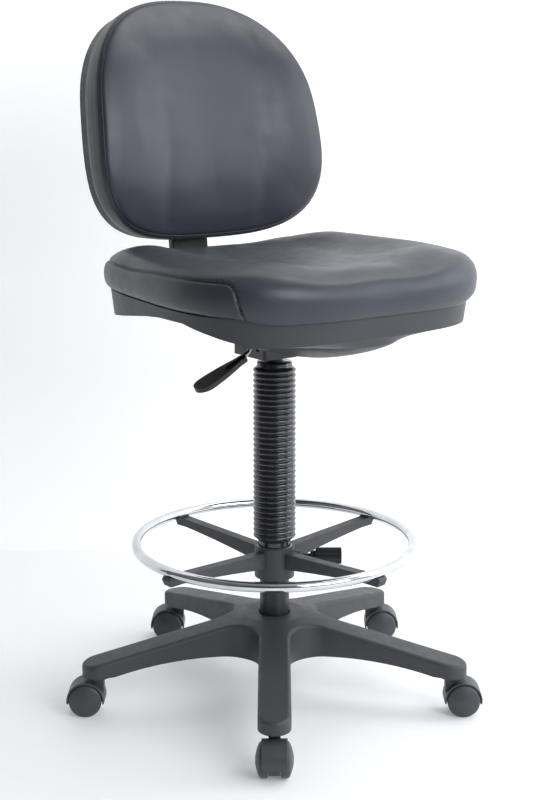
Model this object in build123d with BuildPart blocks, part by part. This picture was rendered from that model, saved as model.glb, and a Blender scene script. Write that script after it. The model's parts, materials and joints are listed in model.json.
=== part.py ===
"""Drafting chair: five-arm base on casters, gas lift, footring, seat and height-adjustable back.

Millimetres.  The origin is on the floor under the column, +Z is up and the sitter faces -Y.
"""

from build123d import *
from math import cos, sin, radians, tan, pi
import os

os.makedirs("parts", exist_ok=True)

# ---- driving dimensions -------------------------------------------------------------------

RUN = 0.05                    # radial clearance of a running fit

# base
ARM_ANGLES = [-126, -54, 18, 90, 162]
STEM_CIRCLE_R = 308
ARM_WIDTH = 52
WEB_R = 45
HUB_TOP_Z = 141
ARM_TOP_END_Z = 85
BASE_WALL = 4.5
BOSS_R = 20.5
BOSS_Z = 63.6
BORE_WALL_R = 34
RIB = 3.5
CROSS_RIB_RADII = [110, 155, 200, 245]
TOP_ROUND = 6
HUB_RING_TOP = 126
GROOVE_Z = 80
COLUMN_R = 25
COLUMN_WALL = 2
COLUMN_Z = 62
COLUMN_TOP_Z = 365

# casters
WHEEL_R = 27
CASTER_TRAIL = 20
CASTER_HALF_WIDTH = 29.3
CASTER_BODY_HALF = 9.3
HOOD_HALF_WIDTH = 20
STEM_R = 5.5
AXLE_R = 4
TREAD_HALF_GAP = 10
FENDER_ROUND = 1.2
CASTER_SWIVELS = {1: -126, 2: -36, 3: -36, 4: 144, 5: 144}

# gas lift
CYLINDER_R = 14
CYLINDER_Z = 275
CYLINDER_TOP_Z = 632
ROD_R = 5
PISTON_R = 12.6
BEARING_Z = 66
BUTTON_R = 4
BUTTON_TOP_Z = 636.7

# bellows
BELLOWS_R = 36
BELLOWS_VALLEY_R = 31.5
BELLOWS_WALL = 1.2
BELLOWS_RIBS = 32
BELLOWS_FIRST_Z = 274
BELLOWS_LAST_Z = 568
BELLOWS_TOP_Z = 577.5
BELLOWS_COLLAR_Z = 258
BELLOWS_COLLAR_R = 27.4

# footring
RING_R = 234
RING_TUBE_R = 8.25
RING_WALL = 1.5
RING_Z = 265.6
RING_HUB_R = 34
RING_HUB_Z = 206
RING_HUB_TOP_Z = 259.5
SPOKE_ANGLES = [-171, -81, 9, 99]
SPOKE_HALF_WIDTH = 9
KNOB_ANGLE = -36
KNOB_Z = 240
KNOB_R = 14
KNOB_START = 70
KNOB_LENGTH = 44
COLLET_R = 27
SPOKE_TOP_Z = 252
SPOKE_LOW_Z = 224
SPOKE_TIP_Z = 260
SPOKE_TIP_LOW_Z = 245
SCREW_R = 4
SHOE_R = 6
SHOE_END = 31.5
SHOE_POCKET = 37

# seat
SEAT_HALF_WIDTH = 251
SEAT_FRONT = 275
SEAT_REAR = 235
SEAT_TAPER = 0.14
SEAT_FRONT_EXP = 3.3
SEAT_REAR_EXP = 4.6
SEAT_RIM_Z = 699.5
SHELL_WALL = 4
PLATE_Z = 672
BOARD_Z = 676
BOARD_TOP_Z = 688
SKIN = 1.8
BELLY_SECTIONS = [(606, 48, 140, 44), (613, 72, 180, 66), (621, 90, 212, 92), (630, 112, 240, 122),
                  (641, 131, 263, 160)]
BELLY_EXPS = (2.3, 3.0)
SHELL_EDGE_Z = 655
SHELL_EDGE_IN = -5
ARCH_SIDE = [(210, 600), (186, 652), (100, 663), (0, 677), (-60, 683), (-120, 683), (-180, 671),
             (-222, 660), (-238, 600)]
ARCH_ACROSS = [(320, 590), (320, 720), (205, 720), (205, 676), (152, 650), (126, 641), (112, 590)]
ARCH_NOTCH_X = 196
ARCH_NOTCH_Y = (-192, 60)
CUSHION_Z = SEAT_RIM_Z + 2.3
CUSHION_SECTIONS = [(CUSHION_Z, -1), (722, 5), (745, 2), (758, -12), (765, -40)]
SHELL_POSTS = [(-104, -135), (104, -135), (-104, 125), (104, 125)]
SHELL_SCREW_Z = 650
PLATE_BOLTS = [(-72, -84), (72, -84), (-72, 84), (72, 84)]
BOLT_R = 3
TNUT_R = 4.5
HOUSING_HALF = 34
HOUSING_Y = (-20, 72)
HOUSING_Z = 584
SOCKET_TOP_Z = 630

# J-bar
J_TILT = 8
J_CORNER = (251, 668)
J_WIDTH = 60
J_THICK = 8
J_LENGTH = 320
J_BEND_R = 24
J_COVER_WIDTH = 75
J_COVER_THICK = 15
J_COVER_START = 205
J_COVER_TOP = 175
J_BOLTS = [(0, 92), (0, 120)]
NOTCHES = 7
NOTCH_START = 185
NOTCH_PITCH = 12

# back
BACK_TILT = 12.1
BACK_CENTRE = (212.1, 978.8)
BACK_HALF_HEIGHT = 205
BACK_HALF_WIDTH = 219.6
BACK_TAPER = 0.057
BACK_WRAP_R = 712
BACK_TOP_EXP = 2.53
BACK_LOW_EXP = 3.6
BACK_FOAM = (14, -42)
BACK_BOARD = (-42, -54)
BACK_SHELL = (-50, -72)
BACK_POSTS = [(-130, -110), (130, -110), (-120, 120), (120, 120)]
BRACKET_LOW = -110
BRACKET_HIGH = -30
BRACKET_HOLES = [(-52, -95), (52, -95), (-52, -45), (52, -45)]
SLEEVE_LOW = 182
SLEEVE_HIGH = 256
PAWL_AT = 240
POCKET_HALF = 46
POCKET_LOW = 104
POCKET_HIGH = 330
POCKET_REAR = 14

# lever
LEVER_PIVOT = (-24, 641)
LEVER_ROD_R = 4
PIN_R = 3
PADDLE_START = (-61, 589)
PADDLE_SLOPE = 24.7
PADDLE_LENGTH = 104
PADDLE_WIDTH = 42
PADDLE_THICK = 8


def save(piece, name, place=None):
    """Label one finished piece, put it in its place and write it."""
    shape = piece if place is None else piece.moved(place)
    shape.label = name
    export_step(shape, f"parts/{name}.step")


def superellipse(half_x, low_y, high_y, low_exp, high_exp, taper, count=28):
    """Points of a closed outline that is wider towards -Y when taper is positive."""
    points = []
    for i in range(count):
        a = 2 * pi * i / count
        e = low_exp if sin(a) < 0 else high_exp
        x = abs(cos(a)) ** (2 / e) * (1 if cos(a) > 0 else -1)
        y = abs(sin(a)) ** (2 / e) * (1 if sin(a) > 0 else -1)
        points.append((half_x * x * (1 - taper * y), (low_y if y < 0 else high_y) * y))
    return points


# ---- base ---------------------------------------------------------------------------------

def arm_plan(plane, inset):
    """Plan of the hub and the five arms: rounded tips and large webs between neighbours."""
    half = ARM_WIDTH / 2 - inset
    web = WEB_R + inset
    start = (half + web) / tan(radians(36))
    valley = (half + web) / sin(radians(36)) - web

    def at(angle, along, across):
        a = radians(angle)
        return (along * cos(a) - across * sin(a), along * sin(a) + across * cos(a))

    with BuildSketch(plane) as plan:
        with BuildLine():
            for a in ARM_ANGLES:
                Line(at(a, start, -half), at(a, STEM_CIRCLE_R, -half))
                ThreePointArc(at(a, STEM_CIRCLE_R, -half), at(a, STEM_CIRCLE_R + half, 0),
                              at(a, STEM_CIRCLE_R, half))
                Line(at(a, STEM_CIRCLE_R, half), at(a, start, half))
                ThreePointArc(at(a, start, half), at(a + 36, valley, 0), at(a + 72, start, -half))
        make_face()
    return plan


def arm_profile():
    """Radial section of the arms: sloping top, arched underside."""
    with BuildSketch(Plane.XZ) as profile:
        with BuildLine():
            Polyline((0, HUB_TOP_Z), (52, HUB_TOP_Z), (345, ARM_TOP_END_Z), (345, 66), (285, 68.5))
            ThreePointArc((285, 68.5), (170, 83), (50, 74))
            Polyline((50, 74), (30, 68), (0, 68), (0, HUB_TOP_Z))
        make_face()
    return profile


def star_base():
    with BuildPart() as pocket:
        plan = arm_plan(Plane.XY.offset(55), BASE_WALL)
        extrude(plan.sketch, amount=100)
        with BuildSketch(Plane.XY.offset(55)) as ribs:
            Circle(BORE_WALL_R)
            with PolarLocations(STEM_CIRCLE_R, 5, start_angle=ARM_ANGLES[0]):
                Circle(BOSS_R)
            for a in ARM_ANGLES:
                with Locations(Location((0, 0, 0), (0, 0, a))):
                    Rectangle(STEM_CIRCLE_R, RIB, align=(Align.MIN, Align.CENTER))
                for r in CROSS_RIB_RADII:
                    with Locations(Location((0, 0, 0), (0, 0, a)) * Location((r, 0, 0))):
                        Rectangle(RIB, ARM_WIDTH)
        extrude(amount=100, mode=Mode.SUBTRACT)
        with BuildSketch(Plane.XZ):
            with BuildLine():
                Polyline((0, HUB_TOP_Z - BASE_WALL), (51, HUB_TOP_Z - BASE_WALL),
                         (345, ARM_TOP_END_Z - BASE_WALL), (345, 50), (0, 50), close=True)
            make_face()
        revolve(axis=Axis.Z, mode=Mode.INTERSECT)

    with BuildPart() as base:
        plan = arm_plan(Plane.XY.offset(60), 0)
        extrude(plan.sketch, amount=100)
        profile = arm_profile()
        revolve(profile.sketch, axis=Axis.Z, mode=Mode.INTERSECT)
        slope = base.faces().filter_by(GeomType.CONE).sort_by(Axis.Z)[-1]
        fillet(slope.outer_wire().edges(), TOP_ROUND)
        with PolarLocations(STEM_CIRCLE_R, 5, start_angle=ARM_ANGLES[0]):
            with Locations((0, 0, BOSS_Z)):
                Cylinder(BOSS_R, 12, align=(Align.CENTER, Align.CENTER, Align.MIN))
        add(pocket.part, mode=Mode.SUBTRACT)
        with Locations((0, 0, 60)):
            Cylinder(COLUMN_R + 4, HUB_RING_TOP - 60, align=(Align.CENTER, Align.CENTER, Align.MIN),
                     mode=Mode.SUBTRACT)
            Cylinder(COLUMN_R + 2, 100, align=(Align.CENTER, Align.CENTER, Align.MIN),
                     mode=Mode.SUBTRACT)
        with PolarLocations(STEM_CIRCLE_R, 5, start_angle=ARM_ANGLES[0]):
            with Locations((0, 0, BOSS_Z)):
                Cylinder(STEM_R + RUN, 23.4, align=(Align.CENTER, Align.CENTER, Align.MIN),
                         mode=Mode.SUBTRACT)
            with Locations((0, 0, GROOVE_Z)):
                Cylinder(STEM_R + 0.9, 2, align=(Align.CENTER, Align.CENTER, Align.MIN),
                         mode=Mode.SUBTRACT)
    save(base.part, "star_base")


def base_hub_ring():
    with BuildPart() as ring:
        with BuildSketch(Plane.XY.offset(72)):
            Circle(COLUMN_R + 3.98)
            Circle(COLUMN_R + 0.02, mode=Mode.SUBTRACT)
        extrude(amount=HUB_RING_TOP - 72)
    save(ring.part, "base_hub_ring")


def column_tube():
    with BuildPart() as tube:
        with BuildSketch(Plane.XY.offset(COLUMN_Z)):
            Circle(COLUMN_R)
        extrude(amount=COLUMN_TOP_Z - COLUMN_Z)
        with BuildSketch(Plane.XY.offset(COLUMN_Z + 4)):
            Circle(COLUMN_R - COLUMN_WALL)
        extrude(amount=COLUMN_TOP_Z, mode=Mode.SUBTRACT)
        with BuildSketch(Plane.XY.offset(COLUMN_Z)):
            Circle(ROD_R + RUN)
        extrude(amount=10, mode=Mode.SUBTRACT)
    save(tube.part, "column_tube")


def column_bush():
    with BuildPart() as bush:
        with BuildSketch(Plane.XZ):
            with BuildLine():
                Polyline((CYLINDER_R + RUN, 287), (COLUMN_R - COLUMN_WALL - 0.02, 287),
                         (COLUMN_R - COLUMN_WALL - 0.02, COLUMN_TOP_Z), (COLUMN_R, COLUMN_TOP_Z),
                         (COLUMN_R, COLUMN_TOP_Z + 3), (CYLINDER_R + RUN, COLUMN_TOP_Z + 3), close=True)
            make_face()
        revolve(axis=Axis.Z)
    save(bush.part, "column_bush")


def stem_grip_rings():
    with BuildPart() as rings:
        with PolarLocations(STEM_CIRCLE_R, 5, start_angle=ARM_ANGLES[0]):
            with Locations((0, 0, GROOVE_Z + 0.3)):
                Cylinder(STEM_R + 0.6, 1.4, align=(Align.CENTER, Align.CENTER, Align.MIN))
                Cylinder(STEM_R - 0.55, 1.4, align=(Align.CENTER, Align.CENTER, Align.MIN),
                         mode=Mode.SUBTRACT)
    save(rings.part, "stem_grip_rings")


def bellows():
    """Thin-walled zigzag sleeve between the footring hub and the top of the gas cylinder."""
    pitch = (BELLOWS_LAST_Z - BELLOWS_FIRST_Z) / BELLOWS_RIBS
    outer = [(BELLOWS_COLLAR_R, BELLOWS_COLLAR_Z), (BELLOWS_COLLAR_R, BELLOWS_FIRST_Z - 4),
             (BELLOWS_VALLEY_R, BELLOWS_FIRST_Z)]
    for i in range(BELLOWS_RIBS):
        outer.append((BELLOWS_R, BELLOWS_FIRST_Z + pitch * (i + 0.5)))
        outer.append((BELLOWS_VALLEY_R, BELLOWS_FIRST_Z + pitch * (i + 1)))
    outer += [(CYLINDER_R + 3, BELLOWS_LAST_Z + 3), (CYLINDER_R + 3, BELLOWS_TOP_Z)]
    inner = [(r - BELLOWS_WALL, z) for r, z in outer]
    inner[-2] = (CYLINDER_R + 1, BELLOWS_LAST_Z + 1.5)
    inner[-1] = (CYLINDER_R + 1, BELLOWS_TOP_Z)
    with BuildPart() as sleeve:
        with BuildSketch(Plane.XZ):
            with BuildLine():
                Polyline(*outer, *reversed(inner), close=True)
            make_face()
        revolve(axis=Axis.Z)
    save(sleeve.part, "bellows")


# ---- casters ------------------------------------------------------------------------------
# Each caster is drawn with its stem on the Z axis, its feet on Z = 0 and its wheels trailing to +X.

def caster_pins():
    with BuildPart() as pins:
        with BuildSketch(Plane.XZ):
            with BuildLine():
                Polyline((0, 36), (STEM_R, 36), (STEM_R, 60.2), (8.5, 60.2), (8.5, 63.3),
                         (STEM_R, 63.3), (STEM_R, GROOVE_Z), (STEM_R - 0.9, GROOVE_Z),
                         (STEM_R - 0.9, GROOVE_Z + 2), (STEM_R, GROOVE_Z + 2),
                         (STEM_R, 84.5), (STEM_R - 1.5, 86), (0, 86), close=True)
            make_face()
        revolve(axis=Axis.Z)
        with BuildSketch(Plane.XZ.offset(-22)):
            with Locations((CASTER_TRAIL, WHEEL_R)):
                Circle(AXLE_R)
        extrude(amount=44)
    return pins.part


def caster_hood():
    """Thin half-round fender on a central body that holds the stem and the axle."""
    axle = (CASTER_TRAIL, WHEEL_R)
    with BuildPart() as hood:
        with BuildSketch(Plane.XZ):
            with Locations(axle):
                Circle(WHEEL_R + 4.2)
        extrude(amount=HOOD_HALF_WIDTH, both=True)
        fillet(hood.edges().filter_by(GeomType.CIRCLE), FENDER_ROUND)
        with BuildSketch(Plane.XZ):
            with Locations((CASTER_TRAIL, WHEEL_R - 30)):
                Rectangle(80, 50)
        extrude(amount=30, both=True, mode=Mode.SUBTRACT)
        for side in (1, -1):
            with BuildSketch(Plane.XZ.offset(side * CASTER_BODY_HALF)):
                with Locations(axle):
                    Circle(WHEEL_R + 1.4)
            extrude(amount=side * 30, mode=Mode.SUBTRACT)
        with BuildSketch(Plane.XZ):
            with Locations(axle):
                Circle(WHEEL_R - 3)
            with Locations((0, 44)):
                Rectangle(20, 32)
        extrude(amount=CASTER_BODY_HALF, both=True)
        with Locations((0, 0, 36)):
            Cylinder(STEM_R, 30, align=(Align.CENTER, Align.CENTER, Align.MIN), mode=Mode.SUBTRACT)
        with BuildSketch(Plane.XZ):
            with Locations(axle):
                Circle(AXLE_R)
        extrude(amount=30, both=True, mode=Mode.SUBTRACT)
    return hood.part


def caster_wheel(side):
    """One wheel: tread with round shoulders, domed outer face, blind bore for the axle."""
    with BuildPart() as wheel:
        with BuildSketch(Plane.YZ.offset(CASTER_TRAIL)):
            with BuildLine():
                Polyline((side * TREAD_HALF_GAP, WHEEL_R), (side * TREAD_HALF_GAP, 2 * WHEEL_R - 2),
                         (side * (TREAD_HALF_GAP + 2), 2 * WHEEL_R), (side * 21, 2 * WHEEL_R),
                         (side * 23.5, 2 * WHEEL_R - 2.2))
                Spline((side * 23.5, 2 * WHEEL_R - 2.2), (side * 27.6, WHEEL_R + 13.5),
                       (side * CASTER_HALF_WIDTH, WHEEL_R + 5))
                Polyline((side * CASTER_HALF_WIDTH, WHEEL_R + 5), (side * CASTER_HALF_WIDTH, WHEEL_R),
                         (side * TREAD_HALF_GAP, WHEEL_R))
            make_face()
        revolve(axis=Axis((CASTER_TRAIL, 0, WHEEL_R), (0, 1, 0)))
        with BuildSketch(Plane.XZ.offset(-side * TREAD_HALF_GAP)):
            with Locations((CASTER_TRAIL, WHEEL_R)):
                Circle(AXLE_R + RUN)
        extrude(amount=-side * 13, mode=Mode.SUBTRACT)
    return wheel.part


def casters():
    pins = caster_pins()
    hood = caster_hood()
    left = caster_wheel(1)
    right = caster_wheel(-1)
    for i, a in enumerate(ARM_ANGLES):
        n = i + 1
        place = Location((STEM_CIRCLE_R * cos(radians(a)), STEM_CIRCLE_R * sin(radians(a)), 0),
                         (0, 0, CASTER_SWIVELS[n]))
        save(pins, f"caster_{n}_pins", place)
        save(hood, f"caster_{n}_hood", place)
        save(left, f"caster_{n}_wheel_left", place)
        save(right, f"caster_{n}_wheel_right", place)


# ---- gas lift -----------------------------------------------------------------------------

def piston_rod():
    with BuildPart() as rod:
        with BuildSketch(Plane.XZ):
            with BuildLine():
                Polyline((0, 55), (ROD_R, 55), (ROD_R, 58), (ROD_R - 1, 58), (ROD_R - 1, 61),
                         (ROD_R, 61), (ROD_R, 291), (PISTON_R, 291), (PISTON_R, 303), (0, 303),
                         close=True)
            make_face()
        revolve(axis=Axis.Z)
    save(rod.part, "piston_rod")


def thrust_bearing():
    """Caged balls under their upper race, as loose solids that turn with the rod."""
    with BuildPart() as bearing:
        with BuildSketch(Plane.XY.offset(BEARING_Z + 3.9)):
            Circle(14)
            Circle(ROD_R, mode=Mode.SUBTRACT)
        extrude(amount=2)
        with Locations((0, 0, BEARING_Z + 1.9)):
            with PolarLocations(9.8, 8):
                Sphere(1.9)
    save(bearing.part, "thrust_bearing")


def rod_clip():
    with BuildPart() as clip:
        with BuildSketch(Plane.XY.offset(58.4)):
            Circle(9)
            Circle(ROD_R - 1, mode=Mode.SUBTRACT)
            with Locations((6, 0)):
                Rectangle(8, 3, mode=Mode.SUBTRACT)
        extrude(amount=2)
    save(clip.part, "rod_clip")


def rod_bumper():
    with BuildPart() as bumper:
        with BuildSketch(Plane.XY.offset(BEARING_Z + 5.9)):
            Circle(12)
            Circle(ROD_R, mode=Mode.SUBTRACT)
        extrude(amount=10)
        fillet(bumper.edges().filter_by(GeomType.CIRCLE).filter_by(lambda e: e.radius > 10), 2)
    save(bumper.part, "rod_bumper")


def gas_cylinder():
    with BuildPart() as cylinder:
        with BuildSketch(Plane.XZ):
            with BuildLine():
                Polyline((12.7, CYLINDER_Z), (CYLINDER_R, CYLINDER_Z), (CYLINDER_R, CYLINDER_TOP_Z),
                         (BUTTON_R + RUN, CYLINDER_TOP_Z), (BUTTON_R + RUN, 618), (12.7, 618),
                         close=True)
            make_face()
        revolve(axis=Axis.Z)
    save(cylinder.part, "gas_cylinder")


def rod_guide():
    with BuildPart() as guide:
        with BuildSketch(Plane.XY.offset(CYLINDER_Z)):
            Circle(12.69)
            Circle(ROD_R + RUN, mode=Mode.SUBTRACT)
        extrude(amount=14)
    save(guide.part, "rod_guide")


def release_button():
    with BuildPart() as button:
        with BuildSketch(Plane.XY.offset(612)):
            Circle(BUTTON_R)
        extrude(amount=BUTTON_TOP_Z - 612)
        with BuildSketch(Plane.XY.offset(612)):
            Circle(BUTTON_R + 3)
        extrude(amount=3)
    save(button.part, "release_button")


# ---- footring -----------------------------------------------------------------------------

def radial_plane(angle, z):
    """Plane whose normal points away from the column at this angle, at height z."""
    a = radians(angle)
    return Plane(origin=(0, 0, z), x_dir=(-sin(a), cos(a), 0), z_dir=(cos(a), sin(a), 0))


def side_plane(angle):
    """Upright plane through the Z axis: its x runs outwards at this angle and its y is height."""
    a = radians(angle)
    return Plane(origin=(0, 0, 0), x_dir=(cos(a), sin(a), 0), z_dir=(sin(a), -cos(a), 0))


def footring_collet():
    with BuildPart() as collet:
        with BuildSketch(Plane.XY.offset(RING_HUB_Z + 1)):
            Circle(COLLET_R)
            Circle(COLUMN_R + RUN, mode=Mode.SUBTRACT)
            with Locations((-COLUMN_R, 0)):
                Rectangle(8, 2, mode=Mode.SUBTRACT)
        extrude(amount=RING_HUB_TOP_Z - RING_HUB_Z - 2.7)
        for inner, height in ((COLUMN_R + RUN, 1.7), (COLLET_R + 0.8, 3)):
            with BuildSketch(Plane.XY.offset(RING_HUB_TOP_Z - 3.4)):
                Circle(COLLET_R + 3)
                Circle(inner, mode=Mode.SUBTRACT)
            extrude(amount=height)
    save(collet.part, "footring_collet")


def footring_hub():
    """Hub, four tapering spokes and the saddles that hold the ring, in one moulding."""
    with BuildPart() as hub:
        with BuildSketch(Plane.XY.offset(RING_HUB_Z)):
            Circle(RING_HUB_R)
        extrude(amount=RING_HUB_TOP_Z - RING_HUB_Z)
        for a in SPOKE_ANGLES:
            with BuildSketch(side_plane(a)):
                with BuildLine():
                    Polyline((30, SPOKE_TOP_Z), (RING_R + 8, SPOKE_TIP_Z), (RING_R + 11, SPOKE_TIP_Z - 5),
                             (RING_R + 6, SPOKE_TIP_LOW_Z), (RING_R - 20, SPOKE_TIP_LOW_Z))
                    ThreePointArc((RING_R - 20, SPOKE_TIP_LOW_Z), (120, 236), (30, SPOKE_LOW_Z))
                    Line((30, SPOKE_LOW_Z), (30, SPOKE_TOP_Z))
                make_face()
            extrude(amount=SPOKE_HALF_WIDTH, both=True)
        with BuildSketch(radial_plane(KNOB_ANGLE, KNOB_Z)):
            Circle(10)
        extrude(amount=44)
        with BuildSketch(Plane.XY.offset(RING_HUB_Z)):
            Circle(COLLET_R + RUN)
        extrude(amount=60, mode=Mode.SUBTRACT)
        with BuildSketch(Plane.XY.offset(RING_HUB_TOP_Z - 3.5)):
            Circle(COLLET_R + 3.1)
        extrude(amount=10, mode=Mode.SUBTRACT)
        with BuildSketch(radial_plane(KNOB_ANGLE, KNOB_Z)):
            Circle(SCREW_R + RUN)
        extrude(amount=50, mode=Mode.SUBTRACT)
        with BuildSketch(radial_plane(KNOB_ANGLE, KNOB_Z)):
            Circle(SHOE_R + RUN)
        extrude(amount=SHOE_POCKET, mode=Mode.SUBTRACT)
        with BuildSketch(Plane.XZ):
            with Locations((RING_R, RING_Z)):
                Circle(RING_TUBE_R + 0.02)
        revolve(axis=Axis.Z, mode=Mode.SUBTRACT)
        with PolarLocations(RING_R, 4, start_angle=SPOKE_ANGLES[0]):
            with Locations((0, 0, SPOKE_TIP_LOW_Z - 1)):
                Cylinder(2.05, 20, align=(Align.CENTER, Align.CENTER, Align.MIN), mode=Mode.SUBTRACT)
    save(hub.part, "footring_hub")


def footring_ring():
    with BuildPart() as ring:
        with BuildSketch(Plane.XZ):
            with Locations((RING_R, RING_Z)):
                Circle(RING_TUBE_R)
                Circle(RING_TUBE_R - RING_WALL, mode=Mode.SUBTRACT)
        revolve(axis=Axis.Z)
        with PolarLocations(RING_R, 4, start_angle=SPOKE_ANGLES[0]):
            with Locations((0, 0, RING_Z - RING_TUBE_R - 1)):
                Cylinder(2, 4, align=(Align.CENTER, Align.CENTER, Align.MIN), mode=Mode.SUBTRACT)
    save(ring.part, "footring_ring")


def footring_screws():
    with BuildPart() as screws:
        with PolarLocations(RING_R, 4, start_angle=SPOKE_ANGLES[0]):
            with Locations((0, 0, SPOKE_TIP_LOW_Z - 2.5)):
                Cylinder(4, 2.5, align=(Align.CENTER, Align.CENTER, Align.MIN))
                Cylinder(2, 17, align=(Align.CENTER, Align.CENTER, Align.MIN))
    save(screws.part, "footring_screws")


def clamp_shoe():
    with BuildPart() as shoe:
        with BuildSketch(radial_plane(KNOB_ANGLE, KNOB_Z)):
            Circle(SHOE_R)
        extrude(amount=SHOE_END)
        with BuildSketch(Plane.XY.offset(RING_HUB_Z)):
            Circle(COLLET_R + 0.3)
        extrude(amount=80, mode=Mode.SUBTRACT)
    save(shoe.part, "clamp_shoe")


def footring_knob():
    """Fluted knob moulded on its clamp screw."""
    with BuildPart() as knob:
        with BuildSketch(radial_plane(KNOB_ANGLE, KNOB_Z).offset(KNOB_START)):
            Circle(KNOB_R)
            with PolarLocations(KNOB_R + 1.1, 14):
                Circle(2.1, mode=Mode.SUBTRACT)
        extrude(amount=KNOB_LENGTH)
        with BuildSketch(radial_plane(KNOB_ANGLE, KNOB_Z).offset(KNOB_START - 9)):
            Circle(9)
        extrude(amount=10)
        with BuildSketch(radial_plane(KNOB_ANGLE, KNOB_Z).offset(SHOE_END + 0.1)):
            Circle(SCREW_R)
        extrude(amount=40)
    save(knob.part, "footring_knob")


# ---- seat ---------------------------------------------------------------------------------

def seat_outline(z, grow):
    """Closed plan of the seat at one height, grown outwards by this much: wide front, bowed edges."""
    points = superellipse(SEAT_HALF_WIDTH + grow, SEAT_FRONT + grow, SEAT_REAR + grow,
                          SEAT_FRONT_EXP, SEAT_REAR_EXP, SEAT_TAPER)
    with BuildSketch(Plane.XY.offset(z)) as plan:
        with BuildLine():
            Spline(*points, periodic=True)
        make_face()
    return plan


def seat_solid(sections):
    """Solid lofted through outlines given as (height, growth)."""
    with BuildPart() as body:
        for z, grow in sections:
            add(seat_outline(z, grow).sketch)
        loft(ruled=True)
    return body.part


def belly_outline(z, half_x, front, rear, shrink):
    """Closed plan of the shell's belly at one height."""
    points = superellipse(half_x - shrink, front - shrink, rear - shrink, *BELLY_EXPS, 0)
    with BuildSketch(Plane.XY.offset(z)) as plan:
        with BuildLine():
            Spline(*points, periodic=True)
        make_face()
    return plan


def shell_form(shrink, lift, rim_z):
    """Outer form of the seat shell: belly bowed to the front, a wide chamfer and an upright wall."""
    with BuildPart() as belly:
        for z, *size in BELLY_SECTIONS:
            add(belly_outline(z + lift, *size, shrink).sketch)
        loft()
    last_z, *last_size = BELLY_SECTIONS[-1]
    with BuildPart() as chamfer:
        add(belly_outline(last_z + lift, *last_size, shrink).sketch)
        add(seat_outline(SHELL_EDGE_Z + lift / 2, SHELL_EDGE_IN - shrink).sketch)
        loft(ruled=True)
    wall = seat_solid([(SHELL_EDGE_Z + lift / 2, SHELL_EDGE_IN - shrink), (rim_z, -shrink)])
    with BuildPart() as form:
        add(belly.part)
        add(chamfer.part)
        add(wall)
    return form.part


def arm_arches(grow):
    """Space cut out of the shell's underside along both sides, where armrest brackets would go."""
    side = [(y + (grow if y > 0 else -grow), z + grow) for y, z in ARCH_SIDE]
    with BuildPart() as arches:
        with BuildSketch(Plane.YZ):
            with BuildLine():
                Polyline(*side, close=True)
            make_face()
        extrude(amount=330, both=True)
        with BuildSketch(Plane.XZ):
            for hand in (1, -1):
                with BuildLine():
                    Polyline(*[(hand * (x - grow), z + grow / 2) for x, z in ARCH_ACROSS], close=True)
                make_face()
        extrude(amount=330, both=True, mode=Mode.INTERSECT)
    return arches.part


def seat_shell():
    with BuildPart() as outer:
        add(shell_form(0, 0, SEAT_RIM_Z))
        add(arm_arches(0), mode=Mode.SUBTRACT)
    with BuildPart() as inner:
        add(shell_form(SHELL_WALL, SHELL_WALL, SEAT_RIM_Z + 1))
        add(arm_arches(SHELL_WALL), mode=Mode.SUBTRACT)
    with BuildPart() as shell:
        add(outer.part)
        add(inner.part, mode=Mode.SUBTRACT)
        with BuildSketch(Plane.XY.offset(580)):
            with Locations((-8, 20)):
                RectangleRounded(156, 132, 14)
        extrude(amount=60, mode=Mode.SUBTRACT)
        with BuildSketch(Plane.XY.offset(600)):
            with Locations((0, 190)):
                Rectangle(J_COVER_WIDTH + 6, 140)
        extrude(amount=80, mode=Mode.SUBTRACT)
        with BuildSketch(Plane.XY.offset(BOARD_Z)):
            with Locations(*SHELL_POSTS):
                Circle(8)
        extrude(until=Until.NEXT, dir=(0, 0, -1))
        with BuildSketch(Plane.XY.offset(560)):
            with Locations(*SHELL_POSTS):
                Circle(2.2)
        extrude(amount=140, mode=Mode.SUBTRACT)
        with BuildSketch(Plane.XY.offset(560)):
            with Locations(*SHELL_POSTS):
                Circle(5)
        extrude(amount=SHELL_SCREW_Z - 560, mode=Mode.SUBTRACT)
    save(shell.part, "seat_shell")


def seat_shell_screws():
    with BuildPart() as screws:
        with BuildSketch(Plane.XY.offset(SHELL_SCREW_Z - 3)):
            with Locations(*SHELL_POSTS):
                Circle(4.5)
        extrude(amount=3)
        with BuildSketch(Plane.XY.offset(SHELL_SCREW_Z)):
            with Locations(*SHELL_POSTS):
                Circle(2.2)
        extrude(amount=BOARD_TOP_Z - 2 - SHELL_SCREW_Z)
    save(screws.part, "seat_shell_screws")


def seat_board():
    plan = seat_outline(BOARD_Z, -14)
    low_y, high_y = ARCH_NOTCH_Y
    with BuildPart() as board:
        extrude(plan.sketch, amount=BOARD_TOP_Z - BOARD_Z)
        with BuildSketch(Plane.XY.offset(BOARD_Z)):
            with Locations(*PLATE_BOLTS):
                Circle(TNUT_R)
        extrude(amount=20, mode=Mode.SUBTRACT)
        with BuildSketch(Plane.XY.offset(BOARD_TOP_Z - 1.2)):
            with Locations(*PLATE_BOLTS):
                Circle(9)
        extrude(amount=5, mode=Mode.SUBTRACT)
        with BuildSketch(Plane.XY.offset(BOARD_Z)):
            with Locations(*SHELL_POSTS):
                Circle(2.2)
        extrude(amount=BOARD_TOP_Z - 2 - BOARD_Z, mode=Mode.SUBTRACT)
        with BuildSketch(Plane.XY.offset(BOARD_Z)):
            for hand in (1, -1):
                with Locations((hand * (ARCH_NOTCH_X + 50), (low_y + high_y) / 2)):
                    Rectangle(100, high_y - low_y)
        extrude(amount=20, mode=Mode.SUBTRACT)
    save(board.part, "seat_board")


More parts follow.
